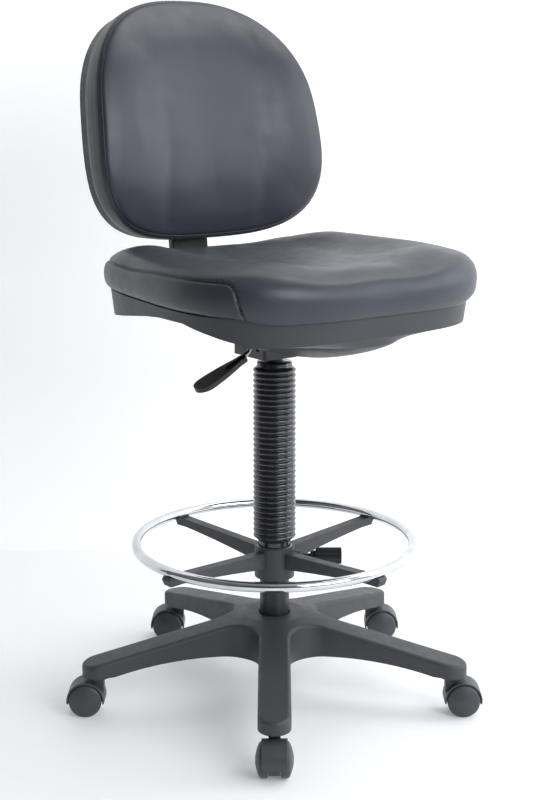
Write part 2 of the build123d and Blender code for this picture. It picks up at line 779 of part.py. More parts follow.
def seat_plate_fasteners():
    """Four bolts through the seat plate and the flanged nuts that they turn in."""
    with BuildPart() as fasteners:
        with BuildSketch(Plane.XY.offset(PLATE_Z - 4)):
            with Locations(*PLATE_BOLTS):
                RegularPolygon(5.8, 6)
        extrude(amount=4)
        with BuildSketch(Plane.XY.offset(PLATE_Z)):
            with Locations(*PLATE_BOLTS):
                Circle(BOLT_R)
        extrude(amount=14)
        with BuildSketch(Plane.XY.offset(BOARD_Z)):
            with Locations(*PLATE_BOLTS):
                Circle(TNUT_R - 0.02)
                Circle(BOLT_R + 0.02, mode=Mode.SUBTRACT)
        extrude(amount=BOARD_TOP_Z - 1.2 - BOARD_Z)
        with BuildSketch(Plane.XY.offset(BOARD_TOP_Z - 1.2)):
            with Locations(*PLATE_BOLTS):
                Circle(9)
                Circle(BOLT_R + 0.02, mode=Mode.SUBTRACT)
        extrude(amount=1.2)
    save(fasteners.part, "seat_plate_fasteners")


def seat_foam():
    lower = seat_outline(BOARD_TOP_Z, -14)
    upper = seat_solid(CUSHION_SECTIONS)
    with BuildPart() as foam:
        extrude(lower.sketch, amount=CUSHION_Z - BOARD_TOP_Z)
        add(upper)
    save(foam.part, "seat_foam")
    return foam.part


def seat_upholstery(foam):
    """Sewn cover: the foam's outer form, one skin larger all round, open under the board."""
    lower = seat_outline(BOARD_TOP_Z, -14 + SKIN)
    upper = [(z, g + SKIN) for z, g in CUSHION_SECTIONS]
    upper[0] = (CUSHION_Z - SKIN, upper[0][1])
    upper[-1] = (upper[-1][0] + SKIN, upper[-1][1])
    upper = seat_solid(upper)
    with BuildPart() as cover:
        extrude(lower.sketch, amount=CUSHION_Z - BOARD_TOP_Z)
        add(upper)
        add(foam, mode=Mode.SUBTRACT)
    save(cover.part, "seat_upholstery")


def seat_plate():
    with BuildPart() as plate:
        with BuildSketch(Plane.XY.offset(PLATE_Z)):
            with Locations((0, 15)):
                RectangleRounded(180, 236, 12)
            with Locations(*PLATE_BOLTS):
                Circle(BOLT_R + 0.3, mode=Mode.SUBTRACT)
            with Locations(*J_BOLTS):
                Circle(BOLT_R + 0.02, mode=Mode.SUBTRACT)
        extrude(amount=BOARD_Z - PLATE_Z)
    save(plate.part, "seat_plate")


def mechanism_housing():
    """Pressed box under the seat plate with the taper socket welded in its floor."""
    low_y, high_y = HOUSING_Y
    middle = (low_y + high_y) / 2
    with BuildPart() as housing:
        with BuildSketch(Plane.XY.offset(HOUSING_Z)):
            with Locations((0, middle)):
                RectangleRounded(2 * HOUSING_HALF, high_y - low_y, 5)
        extrude(amount=PLATE_Z - HOUSING_Z)
        with BuildSketch(Plane.XY.offset(HOUSING_Z + 3)):
            with Locations((0, middle)):
                RectangleRounded(2 * HOUSING_HALF - 6, high_y - low_y - 6, 3)
        extrude(amount=PLATE_Z, mode=Mode.SUBTRACT)
        with BuildSketch(Plane.XY.offset(HOUSING_Z)):
            Circle(CYLINDER_R + 2.4)
        extrude(amount=SOCKET_TOP_Z - HOUSING_Z)
        with BuildSketch(Plane.XY.offset(HOUSING_Z - 1)):
            Circle(CYLINDER_R + 0.02)
        extrude(amount=60, mode=Mode.SUBTRACT)
        with BuildSketch(Plane.YZ.offset(-HOUSING_HALF - 1)):
            with Locations((0, 625)):
                SlotCenterToCenter(46, 11, rotation=90)
        extrude(amount=8, mode=Mode.SUBTRACT)
        for y in (-13, 10):
            with BuildSketch(Plane.XZ.offset(-y)):
                with Locations((LEVER_PIVOT[0], 652)):
                    Rectangle(14, 40)
                with Locations(LEVER_PIVOT):
                    Circle(PIN_R, mode=Mode.SUBTRACT)
            extrude(amount=-3)
    save(housing.part, "mechanism_housing")


def lever_pin():
    with BuildPart() as pin:
        with BuildSketch(Plane.XZ.offset(15)):
            with Locations(LEVER_PIVOT):
                Circle(PIN_R)
        extrude(amount=-30)
    save(pin.part, "lever_pin")


def lever_rod():
    x, z = LEVER_PIVOT
    px, pz = PADDLE_START
    reach = 34
    slope = radians(PADDLE_SLOPE)
    end = (px - reach * cos(slope), pz - reach * sin(slope))
    path_points = [(4, z), (x - 8, z), (px + 8, pz + 9), end]
    with BuildPart() as rod:
        with BuildLine(Plane.XZ) as path:
            FilletPolyline(*path_points, radius=9)
        with BuildSketch(Plane.YZ.offset(4)):
            with Locations((0, z)):
                Circle(LEVER_ROD_R)
        sweep()
        with BuildSketch(Plane.XZ.offset(-8)):
            with Locations(LEVER_PIVOT):
                Circle(PIN_R + 4)
        extrude(amount=16)
        with BuildSketch(Plane.XZ.offset(-10)):
            with Locations(LEVER_PIVOT):
                Circle(PIN_R + RUN)
        extrude(amount=20, mode=Mode.SUBTRACT)
    save(rod.part, "lever_rod")
    return rod.part


def lever_paddle(rod):
    """Flat drooping grip with a round socket under its inner end."""
    s = radians(PADDLE_SLOPE)
    px, pz = PADDLE_START
    along = Plane(origin=(px, 0, pz + 1), x_dir=(-cos(s), 0, -sin(s)), z_dir=(-sin(s), 0, cos(s)))
    half = PADDLE_WIDTH / 2
    with BuildPart() as paddle:
        with BuildSketch(along):
            with BuildLine():
                Line((0, 9), (0, -9))
                Spline((0, -9), (30, -14), (PADDLE_LENGTH - half, -half),
                       tangents=[(1, 0), (1, -0.03)])
                ThreePointArc((PADDLE_LENGTH - half, -half), (PADDLE_LENGTH, 0),
                              (PADDLE_LENGTH - half, half))
                Spline((PADDLE_LENGTH - half, half), (30, 14), (0, 9), tangents=[(-1, -0.03), (-1, 0)])
            make_face()
        extrude(amount=-PADDLE_THICK / 2, both=True)
        fillet(paddle.faces().sort_by(Axis.Z)[-1].edges(), 2.5)
        with BuildSketch(Plane(origin=along.origin - along.z_dir * 1, x_dir=(0, 1, 0),
                               z_dir=along.x_dir)):
            Circle(7.5)
        extrude(amount=42)
        add(rod, mode=Mode.SUBTRACT)
    save(paddle.part, "lever_paddle")


# ---- J-bar --------------------------------------------------------------------------------

def on_j_bar(length, across=0):
    """Point (y, z) this far up the J-bar's upright and this far behind its centre line."""
    t = radians(J_TILT)
    return (J_CORNER[0] + length * sin(t) + across * cos(t),
            J_CORNER[1] + length * cos(t) - across * sin(t))


def j_sweep(start_y, end_length, width, thick):
    """Rectangular bar along the J: a level leg, one bend and the tilted upright."""
    with BuildPart() as bar:
        with BuildLine(Plane.YZ):
            FilletPolyline((start_y, J_CORNER[1]), J_CORNER, on_j_bar(end_length), radius=J_BEND_R)
        with BuildSketch(Plane.XZ.offset(-start_y)):
            with Locations((0, J_CORNER[1])):
                Rectangle(width, thick)
        sweep()
    return bar.part


def j_bar():
    body = j_sweep(74, J_LENGTH, J_WIDTH, J_THICK)
    with BuildPart() as bar:
        add(body)
        with BuildSketch(Plane.XY.offset(650)):
            with Locations(*J_BOLTS):
                Circle(BOLT_R + 0.02)
        extrude(amount=30, mode=Mode.SUBTRACT)
        for i in range(NOTCHES):
            with BuildSketch(Plane.YZ):
                with BuildLine():
                    start = NOTCH_START + i * NOTCH_PITCH
                    Polyline(on_j_bar(start, 5), on_j_bar(start, J_THICK / 2 - 2),
                             on_j_bar(start + 6, 5), close=True)
                make_face()
            extrude(amount=12, both=True, mode=Mode.SUBTRACT)
    save(bar.part, "j_bar")


def j_bar_cover():
    outer = j_sweep(J_COVER_START, J_COVER_TOP, J_COVER_WIDTH, J_COVER_THICK)
    inner = j_sweep(J_COVER_START - 1, J_COVER_TOP + 1, J_WIDTH + 0.6, J_THICK + 0.6)
    with BuildPart() as cover:
        add(outer)
        fillet(cover.edges().filter_by(lambda e: abs(abs(e.center().X) - J_COVER_WIDTH / 2) < 0.01
                                       and e.length > 20), 3)
        add(inner, mode=Mode.SUBTRACT)
    save(cover.part, "j_bar_cover")


def j_bar_bolts():
    with BuildPart() as bolts:
        with BuildSketch(Plane.XY.offset(J_CORNER[1] - J_THICK / 2 - 4)):
            with Locations(*J_BOLTS):
                RegularPolygon(5.8, 6)
        extrude(amount=4)
        with BuildSketch(Plane.XY.offset(J_CORNER[1] - J_THICK / 2)):
            with Locations(*J_BOLTS):
                Circle(BOLT_R)
        extrude(amount=J_THICK + BOARD_Z - PLATE_Z - 0.5)
    save(bolts.part, "j_bar_bolts")


# ---- back ---------------------------------------------------------------------------------
# The back is drawn in its own tilted frame: x to the side, v up along it and w towards the sitter.

def back_plane():
    t = radians(BACK_TILT)
    return Plane(origin=(0, BACK_CENTRE[0], BACK_CENTRE[1]), x_dir=(1, 0, 0),
                 z_dir=(0, -cos(t), sin(t)))


def on_back(v, w):
    """Point (y, z) at height v up the back and depth w towards the sitter."""
    t = radians(BACK_TILT)
    return (BACK_CENTRE[0] + v * sin(t) - w * cos(t), BACK_CENTRE[1] + v * cos(t) + w * sin(t))


def back_block(inset):
    """Straight prism with the back's rounded outline."""
    points = superellipse(BACK_HALF_WIDTH - inset, BACK_HALF_HEIGHT - inset, BACK_HALF_HEIGHT - inset,
                          BACK_LOW_EXP, BACK_TOP_EXP, BACK_TAPER)
    with BuildPart() as block:
        with BuildSketch(back_plane()):
            with BuildLine():
                Spline(*points, periodic=True)
            make_face()
        extrude(amount=150, both=True)
    return block.part


def back_slab(front, rear):
    """Layer of the back between two depths, wrapped round the sitter about an upright axis."""
    t = radians(BACK_TILT)
    section = Plane(origin=(0, BACK_CENTRE[0], BACK_CENTRE[1]), x_dir=(1, 0, 0),
                    z_dir=(0, -sin(t), -cos(t)))
    side = 260
    ends = []
    with BuildPart() as slab:
        with BuildSketch(section):
            with BuildLine():
                for w in (front, rear):
                    radius = BACK_WRAP_R - w
                    rise = radius - (radius ** 2 - side ** 2) ** 0.5
                    ends.append(w + rise)
                    ThreePointArc((-side, w + rise), (0, w), (side, w + rise))
                Line((-side, ends[0]), (-side, ends[1]))
                Line((side, ends[0]), (side, ends[1]))
            make_face()
        extrude(amount=260, both=True)
    return slab.part


def back_layer(inset, depths):
    """Part of the back's outline between two wrapped surfaces."""
    block = back_block(inset)
    slab = back_slab(*depths)
    with BuildPart() as layer:
        add(block)
        add(slab, mode=Mode.INTERSECT)
    return layer.part


def pocket_prism(clear, drop, half):
    """Space behind the back for the J-bar and its bracket, with its rear face along the J-bar."""
    with BuildPart() as prism:
        with BuildSketch(Plane.YZ):
            with BuildLine():
                Polyline(on_back(-190 - drop, -60), on_j_bar(POCKET_LOW - drop, POCKET_REAR + clear),
                         on_j_bar(POCKET_HIGH + clear, POCKET_REAR + clear),
                         on_back(80 + clear, -66), on_back(40 + clear, -60), close=True)
            make_face()
        extrude(amount=half, both=True)
    return prism.part


def back_shell():
    front, rear = BACK_SHELL
    wall = 3
    outer = back_layer(1, BACK_SHELL)
    hollow = back_layer(1 + wall, (front + 20, rear + wall))
    bump = pocket_prism(wall, 0, POCKET_HALF + wall)
    space = pocket_prism(0, 40, POCKET_HALF)
    with BuildPart() as shell:
        add(outer)
        add(bump)
        add(hollow, mode=Mode.SUBTRACT)
        add(space, mode=Mode.SUBTRACT)
        with BuildSketch(back_plane().offset(rear + wall)):
            with Locations(*BACK_POSTS):
                Circle(7)
        extrude(amount=BACK_BOARD[1] - rear - wall)
        with BuildSketch(back_plane().offset(rear - 40)):
            with Locations(*BACK_POSTS):
                Circle(2.2)
        extrude(amount=80, mode=Mode.SUBTRACT)
    save(shell.part, "back_shell")


def back_board():
    blank = back_layer(16, BACK_BOARD)
    with BuildPart() as board:
        add(blank)
        with BuildSketch(back_plane().offset(-60)):
            with Locations(*BACK_POSTS):
                Circle(2.2)
            with Locations(*BRACKET_HOLES):
                Circle(BOLT_R + 0.02)
        extrude(amount=40, mode=Mode.SUBTRACT)
    save(board.part, "back_board")


def back_foam():
    foam = back_layer(SKIN, BACK_FOAM)
    save(foam, "back_foam")


def back_upholstery():
    outer = back_layer(0, (BACK_FOAM[0] + SKIN, BACK_SHELL[0] + 1))
    inner = back_layer(SKIN, (BACK_FOAM[0], -100))
    with BuildPart() as cover:
        add(outer)
        add(inner, mode=Mode.SUBTRACT)
    save(cover.part, "back_upholstery")


def back_bracket():
    """Sleeve that slides on the J-bar, with two webs to a plate on the back board."""
    inner = (J_WIDTH / 2 + 0.3, J_THICK / 2 + 0.3)
    wall = 2.5
    with BuildPart() as bracket:
        with BuildSketch(Plane.YZ):
            with BuildLine():
                Polyline(on_j_bar(SLEEVE_LOW, -inner[1] - wall), on_j_bar(SLEEVE_LOW, inner[1] + wall),
                         on_j_bar(SLEEVE_HIGH, inner[1] + wall), on_j_bar(SLEEVE_HIGH, -inner[1] - wall),
                         close=True)
            make_face()
        extrude(amount=inner[0] + wall, both=True)
        with BuildSketch(Plane.YZ):
            with BuildLine():
                Polyline(on_j_bar(SLEEVE_LOW, 0), on_j_bar(SLEEVE_HIGH, 0),
                         on_back(BRACKET_HIGH - 20, -59), on_back(BRACKET_LOW + 20, -59), close=True)
            make_face()
        extrude(amount=inner[0] + wall, both=True)
        with BuildSketch(Plane.YZ):
            with BuildLine():
                Polyline(on_j_bar(SLEEVE_LOW - 30, 0), on_j_bar(SLEEVE_HIGH + 30, 0),
                         on_back(BRACKET_HIGH + 20, -57), on_back(BRACKET_LOW - 20, -57), close=True)
            make_face()
        extrude(amount=inner[0], both=True, mode=Mode.SUBTRACT)
        with BuildSketch(back_plane().offset(-59)):
            with Locations((0, (BRACKET_LOW + BRACKET_HIGH) / 2)):
                RectangleRounded(130, BRACKET_HIGH - BRACKET_LOW, 8)
            with Locations(*BRACKET_HOLES):
                Circle(BOLT_R + 0.02, mode=Mode.SUBTRACT)
        extrude(amount=3)
        with BuildSketch(Plane.YZ):
            with BuildLine():
                Polyline(on_j_bar(SLEEVE_LOW - 60, -inner[1]), on_j_bar(SLEEVE_LOW - 60, inner[1]),
                         on_j_bar(SLEEVE_HIGH + 60, inner[1]), on_j_bar(SLEEVE_HIGH + 60, -inner[1]),
                         close=True)
            make_face()
        extrude(amount=inner[0], both=True, mode=Mode.SUBTRACT)
        with BuildSketch(Plane.YZ):
            with BuildLine():
                Polyline(on_j_bar(PAWL_AT - 6, 0), on_j_bar(PAWL_AT - 6, 12),
                         on_j_bar(PAWL_AT + 6, 12), on_j_bar(PAWL_AT + 6, 0), close=True)
            make_face()
        extrude(amount=10, both=True, mode=Mode.SUBTRACT)
    save(bracket.part, "back_bracket")


def ratchet_pawl():
    """Sprung tooth in the sleeve's rear wall, just clear of the notched bar."""
    with BuildPart() as pawl:
        with BuildSketch(Plane.YZ):
            with BuildLine():
                Polyline(on_j_bar(PAWL_AT - 4, J_THICK / 2 + 0.5), on_j_bar(PAWL_AT - 5.9, 9),
                         on_j_bar(PAWL_AT + 5.9, 9), on_j_bar(PAWL_AT + 2, J_THICK / 2 + 0.5),
                         close=True)
            make_face()
        extrude(amount=9.9, both=True)
    save(pawl.part, "ratchet_pawl")


def back_screws():
    """Shell screws from behind and bracket bolts, all into the back board."""
    with BuildPart() as screws:
        with BuildSketch(back_plane().offset(BACK_SHELL[1] - 2.4)):
            with Locations(*BACK_POSTS):
                Circle(4.5)
        extrude(amount=2.4)
        with BuildSketch(back_plane().offset(BACK_SHELL[1])):
            with Locations(*BACK_POSTS):
                Circle(2.18)
        extrude(amount=BACK_BOARD[0] - 3 - BACK_SHELL[1])
        with BuildSketch(back_plane().offset(-63)):
            with Locations(*BRACKET_HOLES):
                RegularPolygon(5.5, 6)
        extrude(amount=4)
        with BuildSketch(back_plane().offset(-59)):
            with Locations(*BRACKET_HOLES):
                Circle(BOLT_R)
        extrude(amount=15)
    save(screws.part, "back_screws")


def main():
    star_base()
    base_hub_ring()
    column_tube()
    column_bush()
    stem_grip_rings()
    bellows()
    casters()
    piston_rod()
    thrust_bearing()
    rod_clip()
    rod_bumper()
    gas_cylinder()
    rod_guide()
    release_button()
    footring_collet()
    footring_hub()
    footring_ring()
    footring_screws()
    clamp_shoe()
    footring_knob()
    seat_shell()
    seat_shell_screws()
    seat_board()
    seat_plate_fasteners()
    seat_upholstery(seat_foam())
    seat_plate()
    mechanism_housing()
    lever_pin()
    lever_paddle(lever_rod())
    j_bar()
    j_bar_cover()
    j_bar_bolts()
    back_shell()
    back_board()
    back_foam()
    back_upholstery()
    back_bracket()
    ratchet_pawl()
    back_screws()


main()
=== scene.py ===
"""Looks of the drafting chair: vinyl cushions, ribbed bellows, plastics, chrome and studio light."""

import json
import math

import bmesh
import bpy
import numpy as np
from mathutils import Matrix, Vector
from mathutils.bvhtree import BVHTree


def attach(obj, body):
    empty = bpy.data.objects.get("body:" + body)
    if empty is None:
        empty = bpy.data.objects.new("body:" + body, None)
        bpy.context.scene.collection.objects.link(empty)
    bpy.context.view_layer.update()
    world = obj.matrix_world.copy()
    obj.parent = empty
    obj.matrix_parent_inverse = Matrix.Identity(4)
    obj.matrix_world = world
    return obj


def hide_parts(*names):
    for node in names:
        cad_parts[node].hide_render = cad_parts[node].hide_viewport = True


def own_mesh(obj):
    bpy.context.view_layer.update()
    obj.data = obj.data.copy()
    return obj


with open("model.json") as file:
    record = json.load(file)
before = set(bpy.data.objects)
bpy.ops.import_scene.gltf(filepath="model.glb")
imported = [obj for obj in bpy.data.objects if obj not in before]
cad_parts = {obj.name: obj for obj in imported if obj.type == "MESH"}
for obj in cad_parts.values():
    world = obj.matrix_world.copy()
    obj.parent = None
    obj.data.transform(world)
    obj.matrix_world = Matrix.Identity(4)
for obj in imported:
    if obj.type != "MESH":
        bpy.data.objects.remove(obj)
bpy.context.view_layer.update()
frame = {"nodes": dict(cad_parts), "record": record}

MM = 0.001


# ---- node materials -----------------------------------------------------------------------

NOISE_SPAN = (0.3, 0.7)          # the part of a noise's values that carries nearly all of it


class Nodes:
    """Short hand for building one material's node tree."""

    def __init__(self, name):
        self.material = bpy.data.materials.new(name)
        self.material.use_nodes = True
        self.tree = self.material.node_tree
        self.shader = self.tree.nodes["Principled BSDF"]
        self.coords = self.add("ShaderNodeTexCoord").outputs["Object"]

    def add(self, kind, **values):
        node = self.tree.nodes.new(kind)
        for key, value in values.items():
            if key in node.inputs:
                node.inputs[key].default_value = value
            else:
                setattr(node, key, value)
        return node

    def link(self, source, target):
        self.tree.links.new(source, target)

    def noise(self, scale, detail=4, roughness=0.5, stretch=None):
        where = self.coords
        if stretch:
            mapping = self.add("ShaderNodeMapping", Scale=stretch)
            self.link(where, mapping.inputs["Vector"])
            where = mapping.outputs[0]
        node = self.add("ShaderNodeTexNoise", Scale=scale, Detail=detail, Roughness=roughness)
        self.link(where, node.inputs["Vector"])
        return node.outputs["Fac"]

    def cells(self, scale):
        node = self.add("ShaderNodeTexVoronoi", Scale=scale, feature="DISTANCE_TO_EDGE")
        self.link(self.coords, node.inputs["Vector"])
        return node.outputs["Distance"]

    def ramp(self, source, low, high):
        node = self.add("ShaderNodeMapRange")
        node.inputs["From Min"].default_value, node.inputs["From Max"].default_value = NOISE_SPAN
        node.inputs["To Min"].default_value, node.inputs["To Max"].default_value = low, high
        self.link(source, node.inputs["Value"])
        return node.outputs["Result"]

    def mix_colours(self, source, dark, light):
        node = self.add("ShaderNodeMix", data_type="RGBA")
        node.inputs[6].default_value, node.inputs[7].default_value = (*dark, 1), (*light, 1)
        self.link(self.ramp(source, 0, 1), node.inputs[0])
        self.link(node.outputs[2], self.shader.inputs["Base Color"])

    def bumps(self, *layers, edge=0):
        """Stacked bump layers given as (height, strength, distance), over rounded edges."""
        normal = None
        if edge:
            normal = self.add("ShaderNodeBevel", samples=4, Radius=edge).outputs[0]
        for height, strength, distance in layers:
            bump = self.add("ShaderNodeBump", Strength=strength, Distance=distance)
            self.link(height, bump.inputs["Height"])
            if normal is not None:
                self.link(normal, bump.inputs["Normal"])
            normal = bump.outputs[0]
        if normal is not None:
            self.link(normal, self.shader.inputs["Normal"])

    def rough(self, source, low, high):
        self.link(self.ramp(source, low, high), self.shader.inputs["Roughness"])

    def set(self, **values):
        for key, value in values.items():
            self.shader.inputs[key.replace("_", " ")].default_value = value


def vinyl():
    """Black grained upholstery vinyl with a soft satin sheen."""
    m = Nodes("vinyl")
    m.mix_colours(m.noise(6, 3), (0.026, 0.029, 0.039), (0.034, 0.038, 0.050))
    m.rough(m.noise(40, 3), 0.36, 0.46)
    m.bumps((m.cells(900), 0.22, 0.0003), (m.noise(450, 5), 0.12, 0.0004), (m.noise(22, 3), 0.06, 0.004))
    m.set(Specular_IOR_Level=0.42, Sheen_Weight=0.03, Sheen_Roughness=0.5, Coat_Weight=0.08,
          Coat_Roughness=0.3)
    return m.material


def moulded(name, dark, light, rough, grain, edge):
    """Injection-moulded plastic with a spark-eroded grain and faint flow marks."""
    m = Nodes(name)
    m.mix_colours(m.noise(5, 4), dark, light)
    m.rough(m.noise(60, 4), rough[0], rough[1])
    m.bumps((m.noise(700, 3, 0.7), grain, 0.0004), (m.noise(14, 2), 0.03, 0.003), edge=edge)
    m.set(Specular_IOR_Level=0.45)
    return m.material


def bellows_rubber():
    m = Nodes("bellows_rubber")
    m.mix_colours(m.noise(8, 3), (0.012, 0.012, 0.014), (0.020, 0.020, 0.023))
    m.rough(m.noise(70, 4, stretch=(1, 1, 0.2)), 0.13, 0.24)
    m.bumps((m.noise(120, 3), 0.05, 0.0006))
    m.set(Specular_IOR_Level=0.6, Coat_Weight=0.3, Coat_Roughness=0.1)
    return m.material


def chrome():
    m = Nodes("chrome")
    m.mix_colours(m.noise(30, 3), (0.62, 0.63, 0.65), (0.72, 0.73, 0.75))
    m.rough(m.noise(90, 5), 0.03, 0.085)
    m.bumps((m.noise(25, 2), 0.015, 0.002))
    m.set(Metallic=1.0)
    return m.material


def steel(name, colour, rough):
    m = Nodes(name)
    m.mix_colours(m.noise(40, 4), [c * 0.8 for c in colour], colour)
    m.rough(m.noise(200, 4, stretch=(1, 1, 12)), rough, rough + 0.15)
    m.bumps((m.noise(300, 3, stretch=(1, 1, 8)), 0.05, 0.0003), edge=0.0004)
    m.set(Metallic=1.0)
    return m.material


def powder_coat():
    m = Nodes("black_steel")
    m.mix_colours(m.noise(12, 4), (0.016, 0.016, 0.018), (0.026, 0.026, 0.029))
    m.rough(m.noise(80, 3), 0.28, 0.40)
    m.bumps((m.noise(900, 3, 0.7), 0.10, 0.0003), (m.noise(160, 2), 0.08, 0.0006), edge=0.0005)
    m.set(Specular_IOR_Level=0.5)
    return m.material


def plywood():
    m = Nodes("plywood")
    m.mix_colours(m.noise(30, 6, 0.6, stretch=(1, 9, 25)), (0.42, 0.28, 0.15), (0.66, 0.49, 0.30))
    m.rough(m.noise(90, 4), 0.55, 0.75)
    m.bumps((m.noise(220, 5, stretch=(1, 8, 20)), 0.25, 0.0006))
    return m.material


def foam():
    m = Nodes("foam")
    m.mix_colours(m.noise(20, 4), (0.62, 0.58, 0.42), (0.74, 0.70, 0.56))
    m.rough(m.noise(100, 3), 0.85, 0.95)
    m.bumps((m.cells(400), 0.5, 0.001))
    return m.material


def thread():
    m = Nodes("thread")
    m.mix_colours(m.noise(60, 2), (0.018, 0.019, 0.022), (0.04, 0.042, 0.046))
    m.rough(m.noise(300, 2), 0.5, 0.7)
    m.bumps((m.noise(2500, 2, stretch=(1, 1, 3)), 0.4, 0.0002))
    return m.material


def paint_frame():
    """Gives every CAD node the node material of its slot."""
    slots = {
        "base_nylon": moulded("base_nylon", (0.040, 0.042, 0.046), (0.052, 0.054, 0.060),
                              (0.42, 0.55), 0.30, 0.0012),
        "ring_nylon": moulded("ring_nylon", (0.036, 0.038, 0.042), (0.048, 0.050, 0.055),
                              (0.40, 0.52), 0.25, 0.0010),
        "caster_nylon": moulded("caster_nylon", (0.044, 0.046, 0.051), (0.058, 0.060, 0.067),
                                (0.36, 0.50), 0.20, 0.0008),
        "shell_plastic": moulded("shell_plastic", (0.028, 0.030, 0.034), (0.037, 0.039, 0.044),
                                 (0.42, 0.52), 0.22, 0.0015),
        "handle_plastic": moulded("handle_plastic", (0.008, 0.008, 0.010), (0.014, 0.014, 0.016),
                                  (0.26, 0.36), 0.12, 0.0008),
        "bush_plastic": moulded("bush_plastic", (0.55, 0.54, 0.50), (0.66, 0.65, 0.61),
                                (0.35, 0.45), 0.08, 0.0005),
        "collet_plastic": moulded("collet_plastic", (0.36, 0.37, 0.38), (0.46, 0.47, 0.48),
                                  (0.30, 0.40), 0.08, 0.0004),
        "rubber": moulded("rubber", (0.010, 0.010, 0.010), (0.02, 0.02, 0.02), (0.6, 0.75), 0.2, 0.0006),
        "bellows_rubber": bellows_rubber(),
        "chrome": chrome(),
        "steel": steel("steel", (0.60, 0.60, 0.62), 0.22),
        "black_steel": powder_coat(),
        "plywood": plywood(),
        "foam": foam(),
        "vinyl": vinyl(),
    }
    slot_of = {part["node"]: part["material_slot"] for part in frame["record"]["subparts"]}
    for name, node in frame["nodes"].items():
        node.data.materials.clear()
        node.data.materials.append(slots[slot_of[name]])
    return slots


# ---- geometry helpers ---------------------------------------------------------------------

def make_object(name, verts, faces, material, smooth=True):
    """Mesh object in the scene from vertex places and faces, in one material."""
    mesh = bpy.data.meshes.new(name)
    mesh.from_pydata([tuple(map(float, v)) for v in verts], [], faces)
    mesh.update()
    if smooth:
        mesh.polygons.foreach_set("use_smooth", [True] * len(mesh.polygons))
    mesh.materials.append(material)
    obj = bpy.data.objects.new(name, mesh)
    bpy.context.scene.collection.objects.link(obj)
    return obj


def fix_normals(obj):
    bm = bmesh.new()
    bm.from_mesh(obj.data)
    bmesh.ops.recalc_face_normals(bm, faces=bm.faces)
    bm.to_mesh(obj.data)
    bm.free()


def resample(points, count):
    """Closed polyline resampled to equal steps."""
    loop = np.vstack([points, points[:1]])
    step = np.linalg.norm(np.diff(loop, axis=0), axis=1)
    length = np.concatenate([[0], np.cumsum(step)])
    at = np.linspace(0, length[-1], count, endpoint=False)
    return np.stack([np.interp(at, length, loop[:, k]) for k in range(loop.shape[1])], axis=1)


def superellipse(half_x, low, high, low_exp, high_exp, taper, count):
    """Closed plan outline, wider towards its low side when taper is positive, in equal steps."""
    a = np.linspace(0, 2 * np.pi, 4000, endpoint=False)
    e = np.where(np.sin(a) < 0, low_exp, high_exp)
    x = np.sign(np.cos(a)) * np.abs(np.cos(a)) ** (2 / e)
    y = np.sign(np.sin(a)) * np.abs(np.sin(a)) ** (2 / e)
    points = np.stack([half_x * x * (1 - taper * y), np.where(y < 0, low, high) * y], axis=1)
    return resample(points, count)


def outward(loop):
    """Outward unit normals of a counter-clockwise closed plan loop."""
    tangent = np.roll(loop, -1, axis=0) - np.roll(loop, 1, axis=0)
    normal = np.stack([tangent[:, 1], -tangent[:, 0]], axis=1)
    return normal / np.linalg.norm(normal, axis=1)[:, None]


def smooth_step(t):
    t = np.clip(t, 0, 1)
    return t * t * (3 - 2 * t)


def smooth_curve(points, count):
    """Catmull-Rom curve through a few (offset, height) points."""
    p = np.array(points, float)
    p = np.vstack([2 * p[0] - p[1], p, 2 * p[-1] - p[-2]])
    spans = len(points) - 1
    out = []
    for t in np.linspace(0, spans - 1e-9, count):
        i = int(t)
        u = t - i
        a, b, c, d = p[i:i + 4]
        out.append(0.5 * (2 * b + (c - a) * u + (2 * a - 5 * b + 4 * c - d) * u ** 2
                          + (3 * b - a - 3 * c + d) * u ** 3))
    return np.array(out)


def grid_faces(rows, columns):
    """Quads between closed rings that are stored one after the other."""
    faces = []
    for r in range(rows - 1):
        for c in range(columns):
            n = (c + 1) % columns
            faces.append((r * columns + c, r * columns + n, (r + 1) * columns + n, (r + 1) * columns + c))
    return faces


def line_distance(verts, line):
    """Distance of each vertex from a polyline, and how far along it the nearest point lies."""
    best = np.full(len(verts), 1e9)
    along = np.zeros(len(verts))
    travelled = 0.0
    for a, b in zip(line[:-1], line[1:]):
        span = b - a
        size = np.linalg.norm(span)
        t = np.clip((verts - a) @ span / size ** 2, 0, 1)
        d = np.linalg.norm(verts - a - t[:, None] * span, axis=1)
        closer = d < best
        best[closer] = d[closer]
        along[closer] = travelled + t[closer] * size
        travelled += size
    return best, along


def vertex_normals(obj):
    out = np.empty(len(obj.data.vertices) * 3)
    obj.data.vertices.foreach_get("normal", out)
    return out.reshape(-1, 3)


def get_verts(obj):
    out = np.empty(len(obj.data.vertices) * 3)
    obj.data.vertices.foreach_get("co", out)
    return out.reshape(-1, 3)


def set_verts(obj, verts):
    obj.data.vertices.foreach_set("co", verts.ravel())
    obj.data.update()


# (share of the length, share of the width, share of the rise) at each ring of a stitch
STITCH_RINGS = [(0.0, 0.45, -0.35), (0.2, 1.0, 0.6), (0.5, 1.1, 1.0), (0.8, 1.0, 0.6), (1.0, 0.45, -0.35)]


